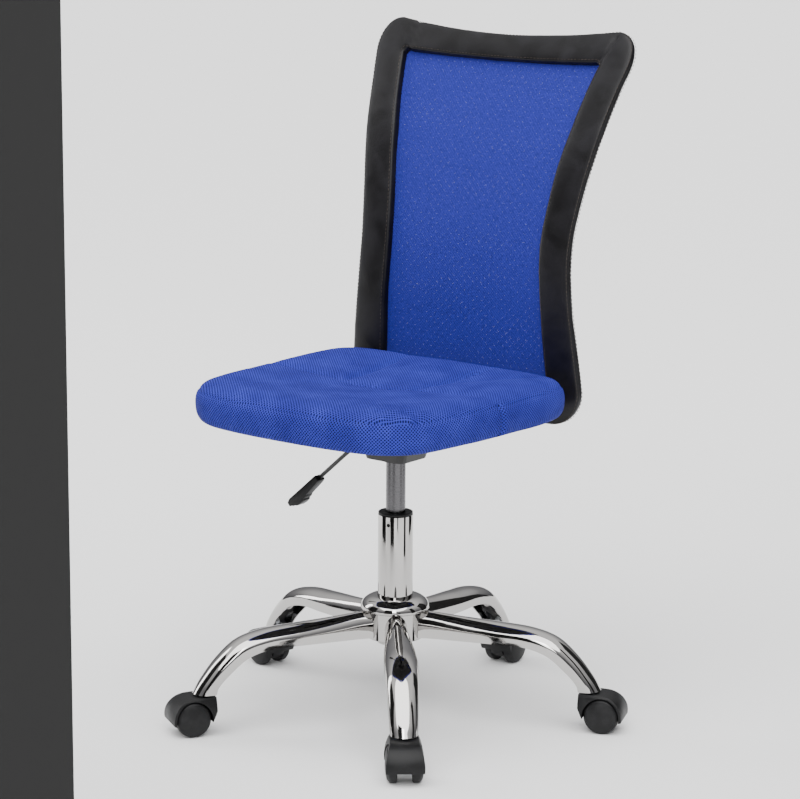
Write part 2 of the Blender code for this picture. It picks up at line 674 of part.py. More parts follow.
# --- backrest ----------------------------------------------------------------------------------
def back_point(x, z, depth):
    """A point behind the backrest's front face at (x, z)."""
    step = 0.002
    slope = (smooth_value(BACK_PROFILE, z + step) - smooth_value(BACK_PROFILE, z - step)) / (2 * step)
    behind = Vector((0, 1, -slope)).normalized()
    return Vector((x, smooth_value(BACK_PROFILE, z), z)) + behind * depth


def edge_loop(edge, low, top, dip, low_corner, top_corner):
    """One edge of the cover as (x, z), from the bottom middle round past +X and back."""
    right = []
    low_x = smooth_value(edge, low + low_corner) - low_corner
    top_x = smooth_value(edge, top - top_corner) - top_corner
    for k in range(3):
        right.append((low_x * k / 3, low))
    for k in range(6):
        angle = math.radians(-90 + 90 * k / 6)
        right.append((low_x + low_corner * math.cos(angle), low + low_corner + low_corner * math.sin(angle)))
    for k in range(11):
        z = low + low_corner + (top - top_corner - low - low_corner) * k / 11
        right.append((smooth_value(edge, z), z))
    for k in range(5):
        angle = math.radians(90 * k / 5)
        right.append((top_x + top_corner * math.cos(angle), top - top_corner + top_corner * math.sin(angle)))
    for k in range(5):
        x = top_x * (1 - k / 4)
        right.append((x, top - dip * (1 - (x / top_x) ** 2)))
    return right + [(-x, z) for x, z in right[-2:0:-1]]


def cover_loops():
    inner = edge_loop(INNER_EDGE, INNER_LOW, INNER_TOP, INNER_TOP_DIP, INNER_LOW_CORNER, INNER_TOP_CORNER)
    outer = edge_loop(OUTER_EDGE, OUTER_LOW, OUTER_TOP, OUTER_TOP_DIP, OUTER_LOW_CORNER, OUTER_TOP_CORNER)
    return list(zip(inner, outer))


def cover_point(pair, share, depth):
    (inner_x, inner_z), (outer_x, outer_z) = pair
    x = inner_x + (outer_x - inner_x) * share
    z = inner_z + (outer_z - inner_z) * share
    return back_point(x, z, depth)


def back_bolt_holes(radius, start_y, end_y):
    return [rod_mesh(f"back_hole_{side}", radius, (side * BACK_BOLT_X, start_y, BACK_BOLT_Z),
                     (side * BACK_BOLT_X, end_y, BACK_BOLT_Z), 12) for side in (-1, 1)]


def back_cover():
    """Padded loop round the nets, open along its inner side where the nets run in."""
    rings = [[cover_point(pair, share, depth) for share, depth in COVER_SKIN + COVER_LINING]
             for pair in cover_loops()]
    return shaped(loft("back_cover", rings, loop=True), cuts=back_bolt_holes(0.0040, 0.1772, 0.200))


def back_tube():
    path = [cover_point(pair, BACK_TUBE_SHARE, BACK_TUBE_DEPTH) for pair in cover_loops()]
    tube = tube_mesh("back_tube", path, BACK_TUBE_R, closed=True, resolution=1)
    return shaped(tube, cuts=back_bolt_holes(BOLT_R + GAP, 0.1690, 0.200))


def net_panel(name, depth):
    """One stretched net, straight from side to side between the cover's inner edges."""
    columns, rows = 4, 14
    low, top = INNER_LOW - NET_TUCK, INNER_TOP + NET_TUCK - INNER_TOP_DIP
    bm = bmesh.new()
    grid = []
    for j in range(rows + 1):
        z = low + (top - low) * j / rows
        half = smooth_value(INNER_EDGE, z) + NET_TUCK
        grid.append([bm.verts.new(back_point(half * (2 * i / columns - 1), z, depth))
                     for i in range(columns + 1)])
    for lower, upper in zip(grid, grid[1:]):
        for i in range(columns):
            bm.faces.new((lower[i], lower[i + 1], upper[i + 1], upper[i]))

    def thicken(obj):
        solid = obj.modifiers.new("thickness", "SOLIDIFY")
        solid.thickness = NET_THICKNESS
        solid.offset = -1.0
    return baked(finish_mesh(bm, name), thicken)


def back_bracket():
    """Bent flat bar from under the seat board to the back of the backrest's bottom rail."""
    middle = filleted(BRACKET_PATH, BRACKET_BEND)
    half = BRACKET_THICKNESS / 2
    section = offset_path(middle, half) + offset_path(middle, -half)[::-1]
    bar = prism("back_bracket", [(-BRACKET_HALF_WIDTH, p.x, p.y) for p in section],
                (2 * BRACKET_HALF_WIDTH, 0, 0))
    holes = back_bolt_holes(BOLT_R + GAP, 0.1820, 0.200)
    for side in (-1, 1):
        x, y = side * REAR_BOLTS[0], REAR_BOLTS[1]
        holes.append(rod_mesh(f"bracket_hole_{side}", BOLT_R + GAP, (x, y, 0.42), (x, y, 0.44), 12))
    return shaped(bar, cuts=holes)


# --- assembly ----------------------------------------------------------------------------------
def make_materials():
    return {
        "chrome": principled("chrome", (0.75, 0.75, 0.76), 0.06, 1.0),
        "cylinder": principled("cylinder", (0.16, 0.16, 0.165), 0.35, 0.9),
        "steel": principled("steel", (0.55, 0.55, 0.56), 0.35, 1.0),
        "black_steel": principled("black_steel", (0.012, 0.012, 0.013), 0.45),
        "black_plastic": principled("black_plastic", (0.014, 0.014, 0.015), 0.5),
        "hood": principled("hood", (0.020, 0.020, 0.021), 0.5),
        "wheel": principled("wheel", (0.028, 0.028, 0.030), 0.55),
        "board": principled("board", (0.015, 0.015, 0.016), 0.8),
        "blue_mesh": principled("blue_mesh", (0.035, 0.075, 0.45), 0.8),
        "blue_net": principled("blue_net", (0.030, 0.070, 0.42), 0.8),
        "black_leather": principled("black_leather", (0.014, 0.014, 0.016), 0.4),
    }


def build_base(chair, materials):
    part("base_hub", base_hub(), materials["chrome"], chair)
    arm, socket = base_arm(), stem_socket()
    for number in range(1, ARM_COUNT + 1):
        yaw = (0, 0, ARM_YAW + (number - 1) * 360 / ARM_COUNT)
        part(f"base_arm_{number}", arm, materials["chrome"], chair, turn=yaw)
        part(f"stem_socket_{number}", socket, materials["steel"], chair, turn=yaw)
    part("column_tube", column_tube(), materials["chrome"], chair)
    part("guide_bush", guide_bush(), materials["black_plastic"], chair)
    bearing_low = COLUMN_LOW + 0.003 + GAP
    part("thrust_bearing", ring_mesh("thrust_bearing", 0.0062, 0.018, bearing_low, bearing_low + 0.007),
         materials["steel"], chair)


def build_lift(chair, materials):
    part("piston_rod", piston_rod(), materials["steel"], chair)
    part("retaining_clip", ring_mesh("retaining_clip", 0.0053, 0.0105, 0.1000, COLUMN_LOW - GAP, 16),
         materials["steel"], chair)
    part("gas_cylinder", gas_cylinder(), materials["cylinder"], chair)
    pin_top = LEVER_Z - LEVER_ROD_R - GAP
    part("release_pin", rod_mesh("release_pin", PIN_R, (0, 0, pin_top - 0.020), (0, 0, pin_top), 12),
         materials["steel"], chair)


def build_seat(seat, materials):
    part("seat_plate", seat_plate(), materials["black_steel"], seat)
    part("seat_board", seat_board(), materials["board"], seat)
    part("seat_cushion", seat_cushion(), materials["blue_mesh"], seat)
    tip = BOARD_TOP - 0.0016
    for number, (x, y, under) in enumerate(seat_bolt_spots(), 1):
        under -= GAP
        part(f"seat_bolt_{number}", bolt(f"seat_bolt_{number}", BOLT_HEAD_R, BOLT_HEAD, BOLT_R, tip - under),
             materials["steel"], seat, (x, y, under))


def build_lever(seat, materials):
    pivot = empty("lever_pivot", seat, (LEVER_PIVOT_X, 0, LEVER_Z))
    back = (-LEVER_PIVOT_X, 0, -LEVER_Z)
    part("lever_rod", lever_rod(), materials["black_steel"], pivot, back)
    part("lever_paddle", lever_paddle(), materials["black_plastic"], pivot, back)
    bush = turned("lever_bush", [(0.0043, 0.0035), (0.0085, 0.0035), (0.0085, -0.0035), (0.0043, -0.0035)],
                  20, closed=True)
    part("lever_bush", bush, materials["black_plastic"], seat, (LEVER_PIVOT_X, 0, LEVER_Z), (0, 90, 0))


def build_back(seat, materials):
    part("back_bracket", back_bracket(), materials["black_steel"], seat)
    part("back_tube", back_tube(), materials["black_steel"], seat)
    part("back_cover", back_cover(), materials["black_leather"], seat)
    part("net_front", net_panel("net_front", FRONT_NET_DEPTH), materials["blue_net"], seat)
    part("net_rear", net_panel("net_rear", REAR_NET_DEPTH), materials["blue_net"], seat)
    behind = BRACKET_PATH[-1][0] + BRACKET_THICKNESS / 2 + GAP
    shank = behind - 0.1710
    for name, side in (("back_bolt_left", 1), ("back_bolt_right", -1)):
        part(name, bolt(name, BOLT_HEAD_R, BOLT_HEAD, BOLT_R, shank), materials["steel"], seat,
             (side * BACK_BOLT_X, behind, BACK_BOLT_Z), (90, 0, 0))


clear_scene()
PARTS = new_collection("swivel_office_chair")
CUTTERS = new_collection("cutters")
FINISHES = make_materials()
CHAIR = empty("column_axis", location=(COLUMN_X, COLUMN_Y, 0))
SEAT = empty("seat_carrier", CHAIR)
build_base(CHAIR, FINISHES)
build_castors(CHAIR, FINISHES)
build_lift(CHAIR, FINISHES)
build_seat(SEAT, FINISHES)
build_lever(SEAT, FINISHES)
build_back(SEAT, FINISHES)
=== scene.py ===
"""Armless swivel chair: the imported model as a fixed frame, dressed with fine visual pieces.

Every length is in metres in the frame's own axes: +Z up, the sitter faces -Y, the sitter's left is at +X.
Each sub-assembly is a class. Its sizes are dataclass fields measured from the column's axis, its methods make
the meshes, and build() hands the pieces to the frame's bodies.
"""

from __future__ import annotations

import logging
import math
from dataclasses import dataclass, field
from enum import Enum
from typing import Any, Callable, Iterable, Sequence

import bmesh
import bpy
import numpy as np
from mathutils import Matrix, Vector, noise
from mathutils.bvhtree import BVHTree


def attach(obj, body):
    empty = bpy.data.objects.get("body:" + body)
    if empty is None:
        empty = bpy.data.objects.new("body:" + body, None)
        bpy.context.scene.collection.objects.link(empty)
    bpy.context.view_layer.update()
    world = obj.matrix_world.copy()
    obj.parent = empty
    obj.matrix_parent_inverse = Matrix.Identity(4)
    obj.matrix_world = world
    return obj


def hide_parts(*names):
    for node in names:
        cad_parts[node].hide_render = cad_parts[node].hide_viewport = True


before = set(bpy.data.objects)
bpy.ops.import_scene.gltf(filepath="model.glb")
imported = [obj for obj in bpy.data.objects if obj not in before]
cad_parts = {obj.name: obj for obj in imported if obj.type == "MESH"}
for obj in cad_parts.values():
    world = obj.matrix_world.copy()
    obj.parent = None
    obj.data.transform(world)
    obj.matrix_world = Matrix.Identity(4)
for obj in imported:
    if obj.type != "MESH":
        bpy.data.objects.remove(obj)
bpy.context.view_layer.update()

LOG = logging.getLogger("swivel_chair")

Row = Sequence[float]
Mesh = bpy.types.Mesh
Object = bpy.types.Object
Tree = bpy.types.NodeTree
Node = bpy.types.Node


class Side(Enum):
    """The sitter's left or right hand."""

    LEFT = 1
    RIGHT = -1


class Edge(Enum):
    """How a piece's edges take the light."""

    ROUND = 180.0
    SOFT = 50.0
    CRISP = 30.0


# --- small tools -------------------------------------------------------------------------------
def linear(colour: str) -> tuple[float, float, float, float]:
    """Turn an sRGB hex colour into linear RGBA.

    Args:
        colour: six hex digits after a hash, such as "#2F4FC0".

    Returns:
        Linear red, green, blue and an alpha of 1.
    """
    channels = [int(colour[i : i + 2], 16) / 255 for i in (1, 3, 5)]
    red, green, blue = [c / 12.92 if c <= 0.04045 else ((c + 0.055) / 1.055) ** 2.4 for c in channels]
    return red, green, blue, 1.0


def add(tree: Tree, kind: str, inputs: dict[Any, Any] | None = None, **settings: Any) -> Node:
    """Add a node with its settings, and fill or link its inputs.

    Args:
        tree: the shader or geometry tree.
        kind: the node's type name.
        inputs: input name or index to a value, or to the socket that feeds it.
        **settings: the node's own properties.

    Returns:
        The new node.
    """
    made = tree.nodes.new(kind)
    for name, value in settings.items():
        setattr(made, name, value)
    for key, value in (inputs or {}).items():
        if isinstance(value, bpy.types.NodeSocket):
            tree.links.new(value, made.inputs[key])
        else:
            made.inputs[key].default_value = value
    return made


def smooth_row(table: Sequence[Row], at: float) -> list[float]:
    """Read a table of (place, values...) rows along a smooth curve through them.

    Args:
        table: rows in rising order of place.
        at: the place asked for.

    Returns:
        The values there.
    """
    rows = [list(row) for row in table]
    rows.insert(0, [2 * a - b for a, b in zip(rows[0], rows[1])])
    rows.append([2 * a - b for a, b in zip(rows[-1], rows[-2])])
    index = 1
    while index < len(rows) - 3 and at > rows[index + 1][0]:
        index += 1
    before, low, high, after = rows[index - 1 : index + 3]
    span = high[0] - low[0]
    t = (at - low[0]) / span
    values = []
    for p, a, b, n in zip(before[1:], low[1:], high[1:], after[1:]):
        slope_a = (b - p) / (high[0] - before[0]) * span
        slope_b = (n - a) / (after[0] - low[0]) * span
        values.append(
            (2 * t**3 - 3 * t**2 + 1) * a + (t**3 - 2 * t**2 + t) * slope_a
            + (3 * t**2 - 2 * t**3) * b + (t**3 - t**2) * slope_b
        )
    return values


def dense(table: Sequence[Row], count: int) -> np.ndarray:
    """Resample a table's rows evenly by row number, on a smooth curve through them."""
    numbered = [(k, *row) for k, row in enumerate(table)]
    last = len(table) - 1
    return np.array([smooth_row(numbered, last * k / (count - 1)) for k in range(count)])


def mesh_of(name: str, points: Iterable[Sequence[float]], faces: Iterable[Sequence[int]]) -> Mesh:
    """Make a mesh from points and faces, with its normals turned outwards."""
    mesh = bpy.data.meshes.new(name)
    mesh.from_pydata([tuple(map(float, p)) for p in points], [], [tuple(map(int, f)) for f in faces])
    bm = bmesh.new()
    bm.from_mesh(mesh)
    bmesh.ops.remove_doubles(bm, verts=bm.verts, dist=1e-6)
    bmesh.ops.recalc_face_normals(bm, faces=bm.faces)
    bm.to_mesh(mesh)
    bm.free()
    return mesh


def shaded(mesh: Mesh, edge: Edge) -> Mesh:
    """Shade a mesh smooth up to an edge angle."""
    mesh.shade_smooth()
    if edge is not Edge.ROUND:
        mesh.set_sharp_from_angle(angle=math.radians(edge.value))
    return mesh


def loft(name: str, rings: Sequence[Sequence[Row]], closed: bool = False, edge: Edge = Edge.SOFT) -> Mesh:
    """Skin a row of rings that have the same number of points.

    Args:
        name: the mesh's name.
        rings: the rings of points, in order.
        closed: join the last ring to the first; otherwise both ends are capped.
        edge: how edges are shaded.

    Returns:
        The closed mesh.
    """
    count = len(rings[0])
    points = [p for ring in rings for p in ring]
    faces = []
    pairs = len(rings) if closed else len(rings) - 1
    for j in range(pairs):
        low, high = j * count, ((j + 1) % len(rings)) * count
        for i in range(count):
            k = (i + 1) % count
            faces.append((low + i, low + k, high + k, high + i))
    if not closed:
        faces.append(tuple(range(count))[::-1])
        faces.append(tuple(range((len(rings) - 1) * count, len(rings) * count)))
    return shaded(mesh_of(name, points, faces), edge)


def turned(name: str, profile: Sequence[Row], segments: int = 72, edge: Edge = Edge.CRISP) -> Mesh:
    """Turn a closed or axis-to-axis profile of (radius, height) points about Z."""
    closed = profile[0][0] > 1e-6 or profile[-1][0] > 1e-6
    ring = list(profile) + ([profile[0]] if closed else [])
    points = []
    faces = []
    for k in range(segments):
        angle = math.tau * k / segments
        points += [(r * math.cos(angle), r * math.sin(angle), z) for r, z in ring]
    size = len(ring)
    for k in range(segments):
        low, high = k * size, ((k + 1) % segments) * size
        faces += [(low + i, high + i, high + i + 1, low + i + 1) for i in range(size - 1)]
    return shaded(mesh_of(name, points, faces), edge)


def rounded(profile: Sequence[Row], radius: float, steps: int = 3) -> list[tuple[float, float]]:
    """Round the corners of a closed profile, except those on the axis."""
    result = []
    count = len(profile)
    for i, corner in enumerate(profile):
        here = Vector(corner)
        before, after = Vector(profile[i - 1]) - here, Vector(profile[(i + 1) % count]) - here
        if here.x < 1e-6 or before.length < 1e-7 or after.length < 1e-7:
            result.append(tuple(here))
            continue
        reach = min(radius, before.length * 0.45, after.length * 0.45)
        start, end = here + before.normalized() * reach, here + after.normalized() * reach
        for k in range(steps + 1):
            t = k / steps
            result.append(tuple(start * (1 - t) ** 2 + here * 2 * t * (1 - t) + end * t**2))
    return result


def prism(name: str, outline: Sequence[Row], vector: Row, edge: Edge = Edge.CRISP) -> Mesh:
    """Push a flat outline of 3-D points along a vector."""
    moved = [tuple(Vector(p) + Vector(vector)) for p in outline]
    return loft(name, [list(outline), moved], edge=edge)


def tube(name: str, path: Sequence[Row], radius: float, sides: int = 16) -> Mesh:
    """A round bar with slightly rounded ends along a path."""
    points = [Vector(p) for p in path]
    rings = []
    up = Vector((0, 1, 0))
    for i, point in enumerate(points):
        along = (points[min(i + 1, len(points) - 1)] - points[max(i - 1, 0)]).normalized()
        side = up.cross(along).normalized()
        out = along.cross(side)
        for reach, share in (((-0.35, 0.72), (0.0, 1.0)) if i == 0 else ((0.0, 1.0),)):
            centre = point + along * radius * reach
            rings.append([centre + (side * math.cos(a) + out * math.sin(a)) * radius * share
                          for a in (math.tau * k / sides for k in range(sides))])
        if i == len(points) - 1:
            centre = point + along * radius * 0.35
            rings.append([centre + (side * math.cos(a) + out * math.sin(a)) * radius * 0.72
                          for a in (math.tau * k / sides for k in range(sides))])
    return loft(name, rings, edge=Edge.SOFT)


def baked(mesh: Mesh, edit: Callable[[Object], None], edge: Edge | None = None) -> Mesh:
    """Return the mesh after the modifiers that edit puts on an object that holds it."""
    holder = bpy.data.objects.new(mesh.name, mesh)
    bpy.context.scene.collection.objects.link(holder)
    edit(holder)
    graph = bpy.context.evaluated_depsgraph_get()
    graph.update()
    result = bpy.data.meshes.new_from_object(holder.evaluated_get(graph), depsgraph=graph)
    bpy.data.objects.remove(holder, do_unlink=True)
    return result if edge is None else shaded(result, edge)


def combined(mesh: Mesh, cuts: Sequence[Mesh] = (), joins: Sequence[Mesh] = (),
             keeps: Sequence[Mesh] = ()) -> Mesh:
    """Intersect, join and cut a mesh with others, in that order.

    Args:
        mesh: the mesh to start from.
        cuts: meshes to take away.
        joins: meshes to join on.
        keeps: meshes to intersect with.

    Returns:
        The new mesh.
    """
    tools: list[Object] = []

    def edit(holder: Object) -> None:
        """Stack one Boolean for each tool mesh."""
        for group, operation in ((keeps, "INTERSECT"), (joins, "UNION"), (cuts, "DIFFERENCE")):
            for other in group:
                tool = bpy.data.objects.new(other.name, other)
                bpy.context.scene.collection.objects.link(tool)
                tools.append(tool)
                modifier = holder.modifiers.new(other.name, "BOOLEAN")
                modifier.operation = operation
                modifier.solver = "EXACT"
                modifier.object = tool

    result = baked(mesh, edit)
    for tool in tools:
        bpy.data.objects.remove(tool, do_unlink=True)
    return result


def bevelled(mesh: Mesh, width: float, segments: int = 2, angle: float = 30.0) -> Mesh:
    """Round a mesh's sharp edges by a width."""

    def edit(holder: Object) -> None:
        """Add the Bevel."""
        modifier = holder.modifiers.new("soft_edge", "BEVEL")
        modifier.width = width
        modifier.segments = segments
        modifier.limit_method = "ANGLE"
        modifier.angle_limit = math.radians(angle)
        modifier.harden_normals = False

    return baked(mesh, edit, Edge.CRISP)


def placed(mesh: Mesh, matrix: Matrix, name: str) -> Mesh:
    """A copy of a mesh moved by a matrix."""
    copy = mesh.copy()
    copy.name = name
    copy.transform(matrix)
    return copy


def cylinder(name: str, radius: float, start: Row, end: Row, segments: int = 48) -> Mesh:
    """A plain round bar between two points, for cutting."""
    start_v, end_v = Vector(start), Vector(end)
    bm = bmesh.new()
    bmesh.ops.create_cone(bm, cap_ends=True, segments=segments, radius1=radius, radius2=radius,
                          depth=(end_v - start_v).length)
    turn = Vector((0, 0, 1)).rotation_difference(end_v - start_v).to_matrix().to_4x4()
    bmesh.ops.transform(bm, matrix=Matrix.Translation((start_v + end_v) / 2) @ turn, verts=bm.verts)
    mesh = bpy.data.meshes.new(name)
    bm.to_mesh(mesh)
    bm.free()
    return mesh


# --- finishes ----------------------------------------------------------------------------------
def blank(name: str) -> tuple[bpy.types.Material, Tree, Node]:
    """Start a material.

    Args:
        name: the material's name.

    Returns:
        The material, its tree and its Principled BSDF.
    """
    material = bpy.data.materials.new(name)
    material.use_nodes = True
    tree = material.node_tree
    return material, tree, tree.nodes["Principled BSDF"]


def object_coordinates(tree: Tree) -> bpy.types.NodeSocket:
    """The piece's own coordinates, in metres."""
    return add(tree, "ShaderNodeTexCoord").outputs["Object"]


@dataclass(frozen=True)
class ChromePlate:
    """Decorative chrome over bright nickel on pressed steel: mirror-like, with the pressing's faint waves."""

    tint: str = "#B4B2B0"
    roughness: float = 0.045
    wave_mm: float = 38.0

    def material(self) -> bpy.types.Material:
        """Mirror metal whose roughness drifts with handling, and whose surface waves a little."""
        material, tree, shader = blank("chrome_plated_steel")
        place = object_coordinates(tree)
        smudge = add(tree, "ShaderNodeTexNoise", {"Vector": place, "Scale": 1000 / self.wave_mm,
                                                  "Detail": 4.0})
        rough = add(tree, "ShaderNodeMapRange", {"Value": smudge.outputs["Fac"], "From Min": 0.35,
                                                 "From Max": 0.75,
                                                 "To Min": self.roughness, "To Max": self.roughness + 0.05})
        bump = add(tree, "ShaderNodeBump", {"Height": smudge.outputs["Fac"], "Strength": 0.06,
                                            "Distance": 0.002})
        shader.inputs["Base Color"].default_value = linear(self.tint)
        shader.inputs["Metallic"].default_value = 1.0
        tree.links.new(rough.outputs["Result"], shader.inputs["Roughness"])
        tree.links.new(bump.outputs["Normal"], shader.inputs["Normal"])
        return material


@dataclass(frozen=True)
class GroundSteel:
    """Centreless-ground and hard-chromed cylinder steel: satin, with rings left by the wheel."""

    tint: str = "#5F5E60"
    roughness: float = 0.26
    ring_mm: float = 1.6

    def material(self) -> bpy.types.Material:
        """Satin metal with fine level rings in its roughness."""
        material, tree, shader = blank("ground_cylinder_steel")
        place = object_coordinates(tree)
        stretch = add(tree, "ShaderNodeMapping", {"Vector": place,
                                                  "Scale": (1.0, 1.0, 1000 / self.ring_mm / 40)})
        rings = add(tree, "ShaderNodeTexNoise", {"Vector": stretch.outputs["Vector"], "Scale": 40.0,
                                                 "Detail": 3.0})
        rough = add(tree, "ShaderNodeMapRange", {"Value": rings.outputs["Fac"], "From Min": 0.3,
                                                 "From Max": 0.7,
                                                 "To Min": self.roughness - 0.05,
                                                 "To Max": self.roughness + 0.07})
        shader.inputs["Base Color"].default_value = linear(self.tint)
        shader.inputs["Metallic"].default_value = 1.0
        tree.links.new(rough.outputs["Result"], shader.inputs["Roughness"])
        return material


@dataclass(frozen=True)
class ZincPlate:
    """Clear zinc plate on small steel parts: pale grey, slightly blotched."""

    light: str = "#B9BBBE"
    dark: str = "#8C8F93"
    blotch_mm: float = 6.0

    def material(self) -> bpy.types.Material:
        """Half-matt metal with soft blotches."""
        material, tree, shader = blank("zinc_plated_steel")
        place = object_coordinates(tree)
        blotch = add(tree, "ShaderNodeTexNoise", {"Vector": place, "Scale": 1000 / self.blotch_mm,
                                                  "Detail": 5.0})
        tone = add(tree, "ShaderNodeValToRGB", {"Fac": blotch.outputs["Fac"]})
        tone.color_ramp.elements[0].color = linear(self.dark)
        tone.color_ramp.elements[1].color = linear(self.light)
        shader.inputs["Metallic"].default_value = 1.0
        shader.inputs["Roughness"].default_value = 0.38
        tree.links.new(tone.outputs["Color"], shader.inputs["Base Color"])
        return material


@dataclass(frozen=True)
class PowderCoat:
    """Baked black polyester powder on steel: an even satin with fine orange peel."""

    colour: str = "#0B0B0C"
    roughness: float = 0.42
    peel_mm: float = 1.4

    def material(self) -> bpy.types.Material:
        """Dark dielectric coat with a fine bump."""
        material, tree, shader = blank("black_powder_coat")
        place = object_coordinates(tree)
        peel = add(tree, "ShaderNodeTexNoise", {"Vector": place, "Scale": 1000 / self.peel_mm, "Detail": 2.0})
        bump = add(tree, "ShaderNodeBump", {"Height": peel.outputs["Fac"], "Strength": 0.25,
                                            "Distance": 0.0003})
        shader.inputs["Base Color"].default_value = linear(self.colour)
        shader.inputs["Roughness"].default_value = self.roughness
        shader.inputs["IOR"].default_value = 1.5
        tree.links.new(bump.outputs["Normal"], shader.inputs["Normal"])
        return material


@dataclass(frozen=True)
class MouldedNylon:
    """Injection-moulded black nylon, spark-eroded tool: a fine even grain that scuffs lighter."""

    name: str = "moulded_nylon"
    colour: str = "#0E0E0F"
    scuff: str = "#1C1C1D"
    roughness: float = 0.42
    grain_mm: float = 0.9

    def material(self) -> bpy.types.Material:
        """Dark plastic with grain, and a broad scuff tone."""
        material, tree, shader = blank(self.name)
        place = object_coordinates(tree)
        broad = add(tree, "ShaderNodeTexNoise", {"Vector": place, "Scale": 60.0, "Detail": 6.0,
                                                 "Roughness": 0.65})
        tone = add(tree, "ShaderNodeValToRGB", {"Fac": broad.outputs["Fac"]})
        tone.color_ramp.elements[0].position = 0.45
        tone.color_ramp.elements[0].color = linear(self.colour)
        tone.color_ramp.elements[1].position = 0.80
        tone.color_ramp.elements[1].color = linear(self.scuff)
        rough = add(tree, "ShaderNodeMapRange", {"Value": broad.outputs["Fac"], "From Min": 0.3,
                                                 "From Max": 0.7,
                                                 "To Min": self.roughness - 0.05,
                                                 "To Max": self.roughness + 0.10})
        grain = add(tree, "ShaderNodeTexNoise", {"Vector": place, "Scale": 1000 / self.grain_mm,
                                                 "Detail": 2.0})
        bump = add(tree, "ShaderNodeBump", {"Height": grain.outputs["Fac"], "Strength": 0.35,
                                            "Distance": 0.0002})
        shader.inputs["IOR"].default_value = 1.53
        shader.inputs["Specular IOR Level"].default_value = 0.22
        tree.links.new(tone.outputs["Color"], shader.inputs["Base Color"])
        tree.links.new(rough.outputs["Result"], shader.inputs["Roughness"])
        tree.links.new(bump.outputs["Normal"], shader.inputs["Normal"])
        return material


@dataclass(frozen=True)
class Leatherette:
    """Coated upholstery leather, embossed: small pebbles between creases, with a soft sheen."""

    colour: str = "#0C0B0D"
    crest_colour: str = "#17161A"
    roughness: float = 0.40
    pebble_mm: float = 1.7
    crease_mm: float = 42.0

    def material(self) -> bpy.types.Material:
        """Dark coated skin: Voronoi pebbles, broad creases and a tone that lightens on the crests."""
        material, tree, shader = blank("coated_leather")
        place = object_coordinates(tree)
        warp = add(tree, "ShaderNodeTexNoise", {"Vector": place, "Scale": 240.0, "Detail": 3.0})
        bent = add(tree, "ShaderNodeMixRGB",
                   {"Fac": 0.0025, "Color1": place, "Color2": warp.outputs["Color"]},
                   blend_type="ADD")
        pebble = add(tree, "ShaderNodeTexVoronoi", {"Vector": bent.outputs["Color"],
                                                    "Scale": 1000 / self.pebble_mm, "Randomness": 0.9},
                     feature="SMOOTH_F1")
        crease = add(tree, "ShaderNodeTexNoise", {"Vector": place, "Scale": 1000 / self.crease_mm,
                                                  "Detail": 5.0,
                                                  "Distortion": 0.6})
        # colour lighter on the crease bump's raised crests and darker in its hollows
        tone = add(tree, "ShaderNodeValToRGB", {"Fac": crease.outputs["Fac"]})
        tone.color_ramp.elements[0].position = 0.35
        tone.color_ramp.elements[0].color = linear(self.colour)
        tone.color_ramp.elements[1].position = 0.72
        tone.color_ramp.elements[1].color = linear(self.crest_colour)
        rough = add(tree, "ShaderNodeMapRange", {"Value": crease.outputs["Fac"], "From Min": 0.3,
                                                 "From Max": 0.7,
                                                 "To Min": self.roughness - 0.06,
                                                 "To Max": self.roughness + 0.08})
        broad = add(tree, "ShaderNodeBump", {"Height": crease.outputs["Fac"], "Strength": 0.35,
                                             "Distance": 0.0020})
        fine = add(tree, "ShaderNodeBump", {"Height": pebble.outputs["Distance"], "Strength": 0.30,
                                            "Distance": 0.0004, "Normal": broad.outputs["Normal"]})
        shader.inputs["IOR"].default_value = 1.5
        shader.inputs["Specular IOR Level"].default_value = 0.26
        tree.links.new(tone.outputs["Color"], shader.inputs["Base Color"])
        tree.links.new(rough.outputs["Result"], shader.inputs["Roughness"])
        tree.links.new(fine.outputs["Normal"], shader.inputs["Normal"])
        return material


